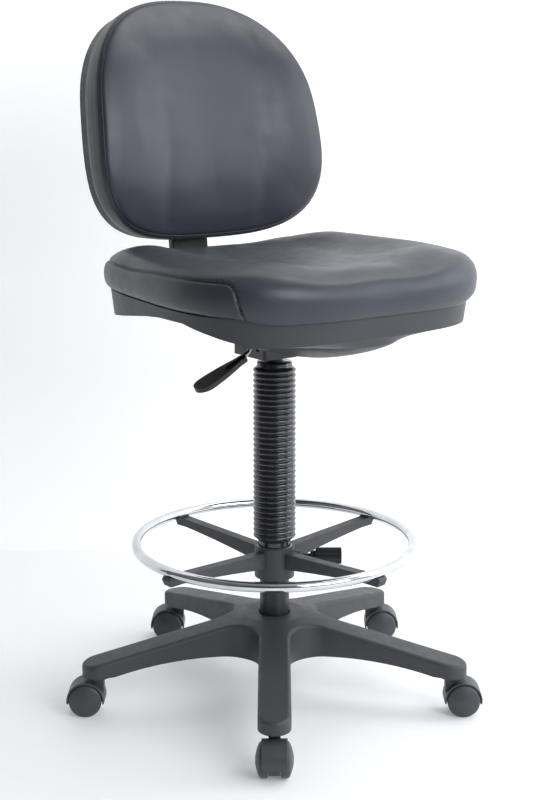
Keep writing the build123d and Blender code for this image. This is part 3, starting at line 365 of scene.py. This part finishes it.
def stitch_row(name, line, normals, spacing, length, width, rise, material):
    """Sewn stitches: short rounded threads lying along a line on the surface."""
    line = np.array(line)
    normals = np.array(normals)
    step = np.linalg.norm(np.diff(line, axis=0), axis=1)
    total = np.concatenate([[0], np.cumsum(step)])
    count = int(total[-1] / spacing)
    verts, faces = [], []
    for i in range(count):
        middle = (i + 0.5) * spacing
        ends = [np.array([np.interp(s, total, line[:, k]) for k in range(3)])
                for s in (middle - length / 2, middle + length / 2)]
        up = np.array([np.interp(middle, total, normals[:, k]) for k in range(3)])
        up /= np.linalg.norm(up)
        ahead = ends[1] - ends[0]
        ahead /= np.linalg.norm(ahead)
        side = np.cross(up, ahead)
        base = len(verts)
        for share, scale, lift in STITCH_RINGS:
            centre = ends[0] + (ends[1] - ends[0]) * share + up * rise * lift
            for k in range(6):
                a = math.pi / 3 * k
                verts.append(centre + (side * math.cos(a) + up * math.sin(a)) * width / 2 * scale)
        for r in range(4):
            for k in range(6):
                n = (k + 1) % 6
                ring = base + r * 6
                faces.append((ring + k, ring + n, ring + 6 + n, ring + 6 + k))
        faces.append(tuple(base + k for k in range(6))[::-1])
        faces.append(tuple(base + 24 + k for k in range(6)))
    return make_object(name, verts, faces, material)


def signed_index(i, count):
    i = int(i)
    return i if i < count // 2 else i - count


def rounded(line, passes):
    """Line with its corners eased and its ends kept."""
    line = np.array(line)
    for _ in range(passes):
        line[1:-1] = (line[:-2] + 2 * line[1:-1] + line[2:]) / 4
    return line


def resample_open(points, count):
    step = np.concatenate([[0], np.cumsum(np.linalg.norm(np.diff(points, axis=0), axis=1))])
    at = np.linspace(0, step[-1], count)
    return np.stack([np.interp(at, step, points[:, k]) for k in range(points.shape[1])], axis=1)


def add_to(body, obj):
    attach(obj, body)


def refine(obj, line, reach):
    """Halves the mesh's cells close to a line, so that fine sewing keeps its shape."""
    gap, _ = line_distance(get_verts(obj), np.array(line))
    bm = bmesh.new()
    bm.from_mesh(obj.data)
    bm.verts.ensure_lookup_table()
    near = [e for e in bm.edges if gap[e.verts[0].index] < reach and gap[e.verts[1].index] < reach]
    bmesh.ops.subdivide_edges(bm, edges=near, cuts=1, use_grid_fill=True, smooth=0)
    bm.to_mesh(obj.data)
    bm.free()
    obj.data.polygons.foreach_set("use_smooth", [True] * len(obj.data.polygons))


# ---- cushion meshes -----------------------------------------------------------------------

def corner_loop(outline, n):
    """Outline as four sides of n equal steps each, starting at its low-left corner."""
    ext = np.abs(outline).max(axis=0)
    cuts = []
    for sx, sy in ((-1, -1), (1, -1), (1, 1), (-1, 1)):
        cuts.append(int(np.argmax(outline @ np.array([sx, sy]) / ext.mean())))
    sides = []
    for a, b in zip(cuts, cuts[1:] + cuts[:1]):
        run = outline[a:b + 1] if b > a else np.vstack([outline[a:], outline[:b + 1]])
        step = np.concatenate([[0], np.cumsum(np.linalg.norm(np.diff(run, axis=0), axis=1))])
        at = np.linspace(0, step[-1], n, endpoint=False)
        sides.append(np.stack([np.interp(at, step, run[:, k]) for k in range(2)], axis=1))
    return np.vstack(sides)


def pad_grid(n, depth):
    """Square grid for a pad's face.

    Returns each point's place on the rim (in rim steps), its inward depth, the grid's quads and
    the rim's grid indices. Rows are closer together near the rim.
    """
    half = n // 2
    place, inward = np.zeros((n + 1, n + 1)), np.zeros((n + 1, n + 1))
    for row in range(n + 1):
        for col in range(n + 1):
            u, v = col - half, row - half
            s = max(abs(u), abs(v))
            k = 1 - s / half
            inward[row, col] = depth * (0.5 * k + 0.5 * k ** 1.8)
            if s == 0:
                continue
            if v == -s:
                place[row, col] = (u / s + 1) / 2 * n
            elif u == s:
                place[row, col] = n + (v / s + 1) / 2 * n
            elif v == s:
                place[row, col] = 2 * n + (1 - u / s) / 2 * n
            else:
                place[row, col] = 3 * n + (1 - v / s) / 2 * n
    index = np.arange((n + 1) ** 2).reshape(n + 1, n + 1)
    faces = [(index[r, c], index[r, c + 1], index[r + 1, c + 1], index[r + 1, c])
             for r in range(n) for c in range(n)]
    rim = ([index[0, c] for c in range(n)] + [index[r, n] for r in range(n)]
           + [index[n, n - c] for c in range(n)] + [index[n - r, 0] for r in range(n)])
    return place.ravel(), inward.ravel(), faces, rim


def on_ring(ring, place):
    """Values of a closed ring at fractional places along it."""
    i = np.floor(place).astype(int)
    t = (place - i)[:, None] if ring.ndim > 1 else place - i
    return ring[i % len(ring)] * (1 - t) + ring[(i + 1) % len(ring)] * t


def blended(weights, curves):
    """One curve per rim place, mixed from a few named curves."""
    return sum(w[:, None, None] * c[None] for w, c in zip(weights, curves))


def pad_mesh(name, rim_plan, depth, face_height, wall, material):
    """Closed pad: a face over the rim, then wall rings given as (outward, level) for each rim place.

    rim_plan(outward) gives the rim's plan and face_height(place, inward) the face's level.
    """
    count = wall.shape[0]
    place, inward, faces, rim = pad_grid(count // 4, depth)
    top = rim_plan(wall[:, 0, 0])
    face = on_ring(top, place) * (1 - inward / depth)[:, None]
    verts = [np.column_stack([face, face_height(place, inward)])]
    faces = [tuple(int(i) for i in f) for f in faces]
    previous = [int(i) for i in rim]
    total = len(face)
    for k in range(1, wall.shape[1]):
        verts.append(np.column_stack([rim_plan(wall[:, k, 0]), wall[:, k, 1]]))
        ring = list(range(total, total + count))
        for c in range(count):
            n = (c + 1) % count
            faces.append((previous[n], previous[c], ring[c], ring[n]))
        previous = ring
        total += count
    return make_object(name, np.vstack(verts), faces, material), rim


CLOTH_FRAMES = 16
WRINKLE_SHARE = 0.12             # how much of the cloth's finest folds is kept


def puff(obj, pinned, pressure, limit):
    """Cloth simulation under inner pressure, with the pinned vertices held and the movement limited."""
    scene = bpy.context.scene
    rest = get_verts(obj)
    group = obj.vertex_groups.new(name="held")
    group.add([int(i) for i in pinned], 1.0, "REPLACE")
    cloth = obj.modifiers.new("cloth", "CLOTH")
    settings = cloth.settings
    settings.quality = 5
    settings.mass = 0.3
    settings.tension_stiffness = settings.compression_stiffness = 25
    settings.shear_stiffness = 12
    settings.bending_stiffness = 2
    settings.vertex_group_mass = "held"
    settings.use_pressure = True
    settings.uniform_pressure_force = pressure
    settings.effector_weights.gravity = 0
    cloth.collision_settings.use_collision = False
    cloth.point_cache.frame_start, cloth.point_cache.frame_end = 1, CLOTH_FRAMES
    for number in range(1, CLOTH_FRAMES + 1):
        scene.frame_set(number)
    depsgraph = bpy.context.evaluated_depsgraph_get()
    moved = np.empty(len(rest) * 3)
    obj.evaluated_get(depsgraph).data.vertices.foreach_get("co", moved)
    obj.modifiers.remove(cloth)
    scene.frame_set(1)
    shift = np.nan_to_num(moved.reshape(-1, 3) - rest)
    size = np.linalg.norm(shift, axis=1)
    shift *= (limit * np.tanh(size / limit) / np.maximum(size, 1e-9))[:, None]
    calm = eased(obj, shift, pinned, 60)
    set_verts(obj, rest + WRINKLE_SHARE * shift + (1 - WRINKLE_SHARE) * calm)


def eased(obj, values, pinned, passes):
    """Vertex values averaged with their neighbours', with the pinned ones kept."""
    edges = np.empty(len(obj.data.edges) * 2, int)
    obj.data.edges.foreach_get("vertices", edges)
    a, b = edges.reshape(-1, 2).T
    count = np.bincount(a, minlength=len(values)) + np.bincount(b, minlength=len(values))
    kept = values[pinned].copy()
    for _ in range(passes):
        total = np.zeros_like(values)
        for k in range(3):
            total[:, k] = (np.bincount(a, values[b, k], len(values))
                           + np.bincount(b, values[a, k], len(values)))
        values = 0.5 * values + 0.5 * total / np.maximum(count, 1)[:, None]
        values[pinned] = kept
    return values


def subdivide(obj):
    modifier = obj.modifiers.new("smooth", "SUBSURF")
    modifier.levels = modifier.render_levels = 1
    depsgraph = bpy.context.evaluated_depsgraph_get()
    mesh = bpy.data.meshes.new_from_object(obj.evaluated_get(depsgraph))
    obj.modifiers.remove(modifier)
    obj.data = mesh
    mesh.polygons.foreach_set("use_smooth", [True] * len(mesh.polygons))


def groove(obj, line, depth, width, lip):
    """Seam valley along a line, with the panels swelling a little on both sides."""
    verts, normals = get_verts(obj), vertex_normals(obj)
    gap, _ = line_distance(verts, np.array(line))
    swell = lip * (gap / width / 2) * np.exp(1 - gap / width / 2)
    set_verts(obj, verts + normals * (swell - depth * np.exp(-(gap / width) ** 2))[:, None])


def snapped(obj, line, lift=0.0):
    """Line laid on the nearest surface, and the surface normals there."""
    tree = surface_tree(obj)
    points, normals = [], []
    for p in line:
        hit, normal, _, _ = tree.find_nearest(Vector(p))
        points.append(np.array(hit) + np.array(normal) * lift)
        normals.append(np.array(normal))
    return np.array(points), np.array(normals)


def surface_tree(obj):
    return BVHTree.FromPolygons([v.co for v in obj.data.vertices],
                                [tuple(p.vertices) for p in obj.data.polygons])


def tube(name, line, normals, radius, material, closed=False):
    """Round cord laid along a line."""
    sides = 10
    line, normals = np.array(line), np.array(normals)
    if closed:
        ahead = np.roll(line, -1, axis=0) - np.roll(line, 1, axis=0)
    else:
        ahead = np.gradient(line, axis=0)
    ahead /= np.linalg.norm(ahead, axis=1)[:, None]
    side = np.cross(normals, ahead)
    side /= np.linalg.norm(side, axis=1)[:, None]
    up = np.cross(ahead, side)
    verts = []
    for p, s, u in zip(line, side, up):
        for k in range(sides):
            a = 2 * math.pi * k / sides
            verts.append(p + radius * (s * math.cos(a) + u * math.sin(a)))
    rings = len(line)
    faces = grid_faces(rings, sides)
    if closed:
        last = (rings - 1) * sides
        faces += [(last + k, last + (k + 1) % sides, (k + 1) % sides, k) for k in range(sides)]
    return make_object(name, verts, faces, material)


# ---- seat cushion -------------------------------------------------------------------------

OUTLINE_POINTS = 3000
SEAT_STEPS = 112                 # grid steps along each side of the seat
SEAT_HALF_WIDTH = 0.251
SEAT_FRONT = 0.275
SEAT_REAR = 0.235
SEAT_EXPS = (3.3, 4.6)           # squareness of the front and rear corners
SEAT_TAPER = 0.14
SEAT_DEPTH = 0.25                # from the rim to the middle of the face
SEAM_TURN = (-0.236, -0.228)     # where the seam turns down, at the front right corner
SEAT_WALL_RINGS = 20
SEAM_DROP_RINGS = 18             # wall rings that the seam runs down over

# Face levels, as (inward from the rim, height), in mm
SEAT_FACE = {
    "side": [(0, 745.5), (3, 750), (8, 757), (16, 764.5), (28, 770), (44, 773), (62, 771.5), (85, 765),
             (112, 757), (145, 751), (190, 748), (250, 747)],
    "front": [(0, 746), (4, 749), (10, 752), (20, 754.5), (34, 755.5), (52, 755), (75, 753), (100, 751),
              (130, 749), (165, 748), (205, 747.3), (250, 747)],
    "rear": [(0, 739), (3, 742), (8, 745.5), (16, 748.5), (28, 750.2), (44, 750.5), (62, 750), (85, 749),
             (112, 748), (145, 747.5), (190, 747), (250, 747)],
}
# Wall sections, as (outward from the outline, height), in mm
SEAT_WALL = {
    "side": [(3, 745.5), (8, 740), (11, 729), (10.5, 716), (7, 706), (1, 701.5), (-6, 700.5), (-14, 700)],
    "front": [(5, 746), (10.5, 738), (14, 727), (13.5, 712), (10, 698), (5.5, 690.5), (0.5, 688), (-3, 689)],
    "rear": [(3, 739), (7, 733), (9, 721), (8.5, 706), (7, 695), (4, 686), (0.5, 683), (-3, 684)],
}


def seat_weights(loop):
    """Shares of the side, front and rear profiles round the rim."""
    x, y = np.abs(loop[:, 0]), loop[:, 1]
    side = smooth_step((x - 0.060) / 0.165)
    side *= 1 - 0.45 * smooth_step((y - 0.10) / 0.13)
    front = (1 - side) * (y < 0)
    return [side, front, 1 - side - front]


def seat_wall_weights(loop, front_start, front_run):
    """The wall is the side's as far as the front and rear ends."""
    y = loop[:, 1]
    front = smooth_step((-y - front_start) / front_run)
    rear = smooth_step((y - 0.165) / 0.060)
    return [1 - front - rear, front, rear]


def seat_cushion(vinyl_material, thread_material):
    n = SEAT_STEPS
    outline = superellipse(SEAT_HALF_WIDTH, SEAT_FRONT, SEAT_REAR, *SEAT_EXPS, SEAT_TAPER, OUTLINE_POINTS)
    loop = corner_loop(outline, n)
    normal = outward(loop)

    def rim_plan(offset):
        return loop + normal * (offset * MM)[:, None]

    names = ("side", "front", "rear")
    walls = [resample_open(smooth_curve(SEAT_WALL[k], 300), SEAT_WALL_RINGS) for k in names]
    face_curves = [smooth_curve(SEAT_FACE[k], 400) for k in names]
    shares = seat_weights(loop)
    wall = blended(seat_wall_weights(loop, 0.150, 0.085), walls)
    wall[:, :, 1] = blended(seat_wall_weights(loop, 0.215, 0.045), walls)[:, :, 1]
    steps = np.linspace(0, 250, 251)
    heights = sum(w[:, None] * np.interp(steps, c[:, 0], c[:, 1])[None]
                  for w, c in zip(shares, face_curves))
    front_rise = 6.5 * shares[0] * smooth_step((0.05 - loop[:, 1]) / 0.12)
    heights += front_rise[:, None] * np.exp(-((steps / 14) ** 2))[None]
    top = heights[:, 0]
    fade = np.exp(-((np.arange(SEAT_WALL_RINGS) / 6.0) ** 2))
    wall[:, :, 1] += (top - wall[:, 0, 1])[:, None] * fade[None]
    wall[:, :, 1] *= MM

    def face_height(place, inward):
        i = np.clip(inward / MM, 0, 249.999)
        k = i.astype(int)
        low = on_ring(heights, place)
        rows = np.arange(len(place))
        return (low[rows, k] * (1 - (i - k)) + low[rows, k + 1] * (i - k)) * MM

    seat, rim = pad_mesh("seat_cushion", rim_plan, SEAT_DEPTH, face_height, wall, vinyl_material)
    rings = (n + 1) ** 2
    count = 4 * n
    corner = signed_index(np.argmin(np.linalg.norm(loop - SEAM_TURN, axis=1)), count)
    run = [i % count for i in range(n - corner, count + corner + 1)]
    drop = [(k, corner + min(k // 4, 4)) for k in range(SEAM_DROP_RINGS)]
    left = [rings + k * count + c % count for k, c in drop]
    right = [rings + k * count + (n - c) % count for k, c in drop]
    hem = range(rings + (SEAT_WALL_RINGS - 4) * count, rings + (SEAT_WALL_RINGS - 1) * count)
    held = [rim[i] for i in run[6:-6]] + list(hem)
    puff(seat, held, 2.5, 0.006)
    verts = get_verts(seat)
    line = rounded(verts[right[::-1] + [rim[i] for i in run] + left], 26)
    turns = [verts[rim[run[0]]], verts[rim[run[-1]]]]
    subdivide(seat)
    refine(seat, line, 0.016)
    line, _ = snapped(seat, line)
    groove(seat, line, 0.0030, 0.0024, 0.0008)
    pucker(seat, line, turns)
    line, normals = snapped(seat, line, -0.0003)
    add_to("seat", tube("seat_seam", line, normals, 0.0008, thread_material))
    corner_stitches(seat, line, thread_material)
    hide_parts("seat_upholstery", "seat_foam")
    add_to("seat", seat)


def pucker(obj, line, turns):
    """Short gathers that run out from the seam where it turns down at each front corner."""
    verts, normals = get_verts(obj), vertex_normals(obj)
    shift = np.zeros(len(verts))
    rng = np.random.default_rng(4)
    for turn in turns:
        near = np.argsort(np.linalg.norm(line - turn, axis=1))[:15]
        near.sort()
        centre = line[near].mean(axis=0)
        for i in near[1::2]:
            out = line[i] - centre
            inwards = np.array([0, 0, 0.75]) - line[i]
            out = out / max(np.linalg.norm(out), 1e-6) + 0.2 * inwards / np.linalg.norm(inwards)
            out /= np.linalg.norm(out)
            size = 0.008 + 0.007 * rng.random()
            end = line[i] + out * size
            gap, along = line_distance(verts, np.array([line[i], end]))
            taper = np.clip(1 - along / size, 0, 1)
            shift -= 0.0019 * np.exp(-(gap / 0.0013) ** 2) * (0.25 + 0.75 * taper)
            shift += 0.0004 * np.exp(-((gap - 0.0028) / 0.0016) ** 2) * taper
    set_verts(obj, verts + normals * shift[:, None])


def corner_stitches(seat, line, material):
    """Two short rows of stitches beside the seam's turn on each front corner."""
    for number, part in enumerate((line[:24], line[-24:])):
        ahead = np.gradient(part, axis=0)
        ahead /= np.linalg.norm(ahead, axis=1)[:, None]
        _, normals = snapped(seat, part)
        side = np.cross(normals, ahead)
        rear = side * np.sign(side[:, 1:2] + 1e-9)
        for row, away in enumerate((0.0065, 0.0115)):
            points, up = snapped(seat, part + rear * away, 0.0001)
            stitches = stitch_row(f"seat_stitches_{number + 1}_{row + 1}", points, up, 0.0052, 0.0036,
                                  0.0008, 0.0004, material)
            add_to("seat", stitches)


# ---- back cushion -------------------------------------------------------------------------

BACK_STEPS = 100
BACK_HALF_WIDTH = 0.2205
BACK_HALF_HEIGHT = 0.205
BACK_EXPS = (3.5, 2.45)          # squareness of the lower and upper corners
BACK_TAPER = 0.072
BACK_DEPTH = 0.20                # from the rim to the middle of the face
BACK_WRAP_R = 0.712
BACK_BOW = 0.0214                # how far the rim falls back at the top and the bottom
BACK_THICK = 0.0545
BACK_WALL_RINGS = 16
BACK_TILT = math.radians(12.1)
BACK_ORIGIN = np.array([0, 0.2121, 0.9788])
BACK_CROWN = [(0, 0), (3, 4.5), (8, 8.5), (16, 12.5), (30, 16.5), (50, 18.5), (80, 19), (120, 18),
              (160, 17.5), (200, 17.5)]
CREASE_X = 0.098


def back_wrap(x):
    """How far the back comes forward at the sides as it wraps round the sitter."""
    return BACK_WRAP_R - np.sqrt(BACK_WRAP_R ** 2 - x ** 2)


def back_front(x, v):
    """Depth of the front seam's surface at a place in the back's plan."""
    return back_wrap(x) - BACK_BOW * (v / BACK_HALF_HEIGHT) ** 2


def back_place(points):
    """Row-frame places of (side, height, depth) points in the back's own tilted frame."""
    x, v, w = np.array(points).T
    c, s = math.cos(BACK_TILT), math.sin(BACK_TILT)
    return np.stack([x, BACK_ORIGIN[1] + v * s - w * c, BACK_ORIGIN[2] + v * c + w * s], axis=1)


def back_cushion(vinyl_material, thread_material):
    n = BACK_STEPS
    outline = superellipse(BACK_HALF_WIDTH, BACK_HALF_HEIGHT, BACK_HALF_HEIGHT, *BACK_EXPS, BACK_TAPER,
                           OUTLINE_POINTS)
    loop = corner_loop(outline, n)
    normal = outward(loop)
    front = back_front(loop[:, 0], loop[:, 1])
    rear = back_wrap(loop[:, 0]) - BACK_THICK
    swell = np.array([(0, 0), (0.10, 2.2), (0.25, 3.6), (0.5, 4.2), (0.75, 3.2), (0.9, 1.4), (1, -0.5)])
    rows = BACK_WALL_RINGS
    share = np.linspace(0, 1, rows)
    bulge = np.interp(share, swell[:, 0], swell[:, 1])
    wall = np.zeros((4 * n, rows + 3, 2))
    wall[:, :rows, 0] = bulge[None]
    wall[:, :rows, 1] = front[:, None] * (1 - share)[None] + rear[:, None] * share[None]
    for extra, (inset, deeper) in enumerate(((-4, 0.0), (-9, -0.0005), (-16, -0.0005))):
        wall[:, rows + extra, 0] = inset
        wall[:, rows + extra, 1] = rear + deeper

    def rim_plan(offset):
        return loop + normal * (offset * MM)[:, None]

    crown = smooth_curve(BACK_CROWN, 400)

    def face_height(place, inward):
        plan = on_ring(loop, place) * (1 - inward / BACK_DEPTH)[:, None]
        x, v = plan[:, 0], plan[:, 1]
        level = back_front(x, v) + np.interp(inward / MM, crown[:, 0], crown[:, 1]) * MM
        low = smooth_step((0.02 - v) / 0.10) * smooth_step((v + BACK_HALF_HEIGHT) / 0.03)
        across = np.abs(x) - CREASE_X + 0.10 * np.clip(v + 0.14, -0.06, 0.10) ** 2 * 8
        level -= 0.0020 * low * np.exp(-(across / 0.015) ** 2)
        level += 0.0015 * low * np.exp(-((np.abs(x) - 0.045) / 0.050) ** 2)
        level += 0.0040 * np.exp(-((np.abs(x) - 0.150) / 0.034) ** 2 - ((v + 0.01) / 0.085) ** 2)
        return level

    back, rim = pad_mesh("back_cushion", rim_plan, BACK_DEPTH, face_height, wall, vinyl_material)
    set_verts(back, back_place(get_verts(back)))
    fix_normals(back)
    rings = (n + 1) ** 2
    count = 4 * n
    second = [rings + (rows - 2) * count + c for c in range(count)]
    held = [int(i) for i in rim] + list(range(rings + (rows - 2) * count, rings + (rows + 2) * count))
    puff(back, held, 2.5, 0.005)
    verts = get_verts(back)
    front_line = verts[[int(i) for i in rim]]
    rear_line = verts[second]
    subdivide(back)
    for name, line, depth, radius in (("back_piping", front_line, 0.0022, 0.0016),
                                      ("back_rear_seam", rear_line, 0.0020, 0.0009)):
        closed = np.vstack([line, line[:1]])
        groove(back, closed, depth, 0.0026, 0.0007)
        points, normals = snapped(back, line, 0.0002)
        cord = tube(name, points, normals, radius, vinyl_material, closed=True)
        add_to("back", cord)
    sewing(back, front_line, thread_material)
    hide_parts("back_upholstery", "back_foam")
    add_to("back", back)


def sewing(back, line, thread_material):
    """Topstitches along the boxing, just behind the front seam."""
    centre = line.mean(axis=0)
    c, s = math.cos(BACK_TILT), math.sin(BACK_TILT)
    rearwards = np.array([0, c, -s])
    closed = np.vstack([line, line[:1]])
    points, normals = snapped(back, closed + rearwards * 0.0065 + (closed - centre) * 0.004, 0.0001)
    stitches = stitch_row("back_topstitch", points, normals, 0.0048, 0.0034, 0.0007, 0.0003,
                          thread_material)
    add_to("back", stitches)


# ---- bellows ------------------------------------------------------------------------------

BELLOWS_RIBS = 32
BELLOWS_LOW = 274.0              # mm, bottom of the lowest rib
BELLOWS_HIGH = 568.0
BELLOWS_VALLEY_R = 31.4
RIB_RISE = 4.7
SLEEVE_SIDES = 112


def bellows_sleeve(material):
    """Ribbed sleeve turned from one profile: a plain collar, rounded ribs and a plain top."""
    pitch = (BELLOWS_HIGH - BELLOWS_LOW) / BELLOWS_RIBS
    profile = [(27.6, 258), (27.6, 268), (28.2, 270.5), (31.0, 272.6)]
    for i in range(BELLOWS_RIBS):
        base = BELLOWS_LOW + i * pitch
        for t in np.linspace(0, 1, 11, endpoint=False):
            bulge = abs(math.sin(math.pi * t)) ** 0.62
            profile.append((BELLOWS_VALLEY_R + RIB_RISE * bulge, base + t * pitch))
    profile += [(31.2, 568.4), (30.2, 570.4), (29.6, 573), (29.4, 576.6), (28.6, 577.6), (15.5, 577.6)]
    verts = []
    for r, z in profile:
        for k in range(SLEEVE_SIDES):
            a = 2 * math.pi * k / SLEEVE_SIDES
            verts.append((r * math.cos(a) * MM, r * math.sin(a) * MM, z * MM))
    sleeve = make_object("bellows_sleeve", verts, grid_faces(len(profile), SLEEVE_SIDES), material)
    fix_normals(sleeve)
    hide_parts("bellows")
    add_to("base", sleeve)
    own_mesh(sleeve)


# ---- room, light and camera ---------------------------------------------------------------

HEADING = math.radians(36)       # the camera's, clockwise from +Y
PITCH = math.radians(9)          # the camera's, below level
CAMERA_PLACE = (-1.4583, -2.0072, 1.056)
WALL_BEHIND = 0.767
ROOM_HALF_WIDTH = 6
ROOM_HEIGHT = 4
FLOOR_LENGTH = 7


def one_sided(name, colour, rough, glow):
    """Pale, slightly lit paint that shows from its front only, so that views from behind stay clear."""
    m = Nodes(name)
    m.mix_colours(m.noise(1.2, 3), [c * 0.985 for c in colour], colour)
    m.set(Roughness=rough, Specular_IOR_Level=0.25, Emission_Strength=glow,
          Emission_Color=(1.0, 1.0, 1.0, 1.0))
    m.bumps((m.noise(60, 3), 0.03, 0.001))
    geometry = m.add("ShaderNodeNewGeometry")
    clear = m.add("ShaderNodeBsdfTransparent")
    mix = m.add("ShaderNodeMixShader")
    output = m.tree.nodes["Material Output"]
    m.link(geometry.outputs["Backfacing"], mix.inputs[0])
    m.link(m.shader.outputs[0], mix.inputs[1])
    m.link(clear.outputs[0], mix.inputs[2])
    m.link(mix.outputs[0], output.inputs["Surface"])
    return m.material


def room():
    """Pale floor, and a wall square to the camera's heading behind the chair."""
    ahead = np.array([math.sin(HEADING), math.cos(HEADING), 0])
    right = np.array([math.cos(HEADING), -math.sin(HEADING), 0])
    up = np.array([0, 0, 1.0])
    centre = ahead * WALL_BEHIND
    sides = right * ROOM_HALF_WIDTH
    near = ahead * -FLOOR_LENGTH
    floor = make_object("floor", [centre - sides, near - sides, near + sides, centre + sides],
                        [(0, 1, 2, 3)], one_sided("floor_paint", (0.86, 0.86, 0.86), 0.5, 0.16),
                        smooth=False)
    top = centre + up * ROOM_HEIGHT
    wall = make_object("wall", [centre - sides, centre + sides, top + sides, top - sides],
                       [(0, 1, 2, 3)], one_sided("wall_paint", (0.88, 0.88, 0.88), 0.7, 0.36),
                       smooth=False)


def area_light(name, place, target, size, power, colour=(1, 1, 1)):
    data = bpy.data.lights.new(name, "AREA")
    data.shape, data.size, data.size_y = "RECTANGLE", size[0], size[1]
    data.energy, data.color = power, colour
    light = bpy.data.objects.new(name, data)
    bpy.context.scene.collection.objects.link(light)
    light.location = place
    light.rotation_euler = (Vector(target) - Vector(place)).to_track_quat("-Z", "Y").to_euler()


def world_light():
    """Bright room, dimmer on the sitter's right and behind the camera."""
    world = bpy.data.worlds.new("room_light")
    bpy.context.scene.world = world
    world.use_nodes = True
    tree = world.node_tree
    background = tree.nodes["Background"]
    background.inputs["Color"].default_value = (0.94, 0.97, 1.0, 1)
    coords = tree.nodes.new("ShaderNodeTexCoord")
    backwards = (-math.sin(HEADING), -math.cos(HEADING), 0)
    levels = []
    for direction, low, high, at in (((1, 0, 0), 0.16, 0.78, (-0.8, 0.5)),
                                     (backwards, 1.0, 0.45, (0.72, 0.9))):
        dot = tree.nodes.new("ShaderNodeVectorMath")
        dot.operation = "DOT_PRODUCT"
        dot.inputs[1].default_value = direction
        tree.links.new(coords.outputs["Generated"], dot.inputs[0])
        level = tree.nodes.new("ShaderNodeMapRange")
        level.interpolation_type = "SMOOTHSTEP"
        level.inputs["From Min"].default_value, level.inputs["From Max"].default_value = at
        level.inputs["To Min"].default_value, level.inputs["To Max"].default_value = low, high
        tree.links.new(dot.outputs["Value"], level.inputs["Value"])
        levels.append(level.outputs["Result"])
    product = tree.nodes.new("ShaderNodeMath")
    product.operation = "MULTIPLY"
    tree.links.new(levels[0], product.inputs[0])
    tree.links.new(levels[1], product.inputs[1])
    tree.links.new(product.outputs[0], background.inputs["Strength"])


def lights():
    world_light()
    area_light("overhead", (1.35, 0.25, 2.7), (0, -0.1, 0.7), (1.7, 1.7), 46)
    area_light("front_window", (0.3, -3.2, 2.1), (0, 0, 0.7), (2.4, 1.6), 74, (0.90, 0.95, 1.0))
    area_light("right_window", (2.6, -1.6, 1.7), (0, 0, 0.7), (1.8, 2.0), 40, (0.92, 0.96, 1.0))


def camera():
    data = bpy.data.cameras.new("camera")
    cam = bpy.data.objects.new("camera", data)
    bpy.context.scene.collection.objects.link(cam)
    cam.location = CAMERA_PLACE
    level = math.cos(PITCH)
    ahead = Vector((math.sin(HEADING) * level, math.cos(HEADING) * level, -math.sin(PITCH)))
    cam.rotation_euler = ahead.to_track_quat("-Z", "Y").to_euler()
    data.sensor_width, data.lens, data.shift_y = 36, 68.04, -0.112
    data.clip_start, data.clip_end = 0.05, 60
    bpy.context.scene.camera = cam


def colours():
    """Plain colour transform, so the render's greys are the paint's greys."""
    scene = bpy.context.scene
    scene.view_settings.view_transform = "Standard"
    scene.view_settings.look = "None"
    scene.view_settings.exposure = 0.0
    scene.view_settings.gamma = 1.0


def main():
    slots = paint_frame()
    thread_material = thread()
    seat_cushion(slots["vinyl"], thread_material)
    back_cushion(slots["vinyl"], thread_material)
    bellows_sleeve(slots["bellows_rubber"])
    room()
    lights()
    camera()
    colours()


main()
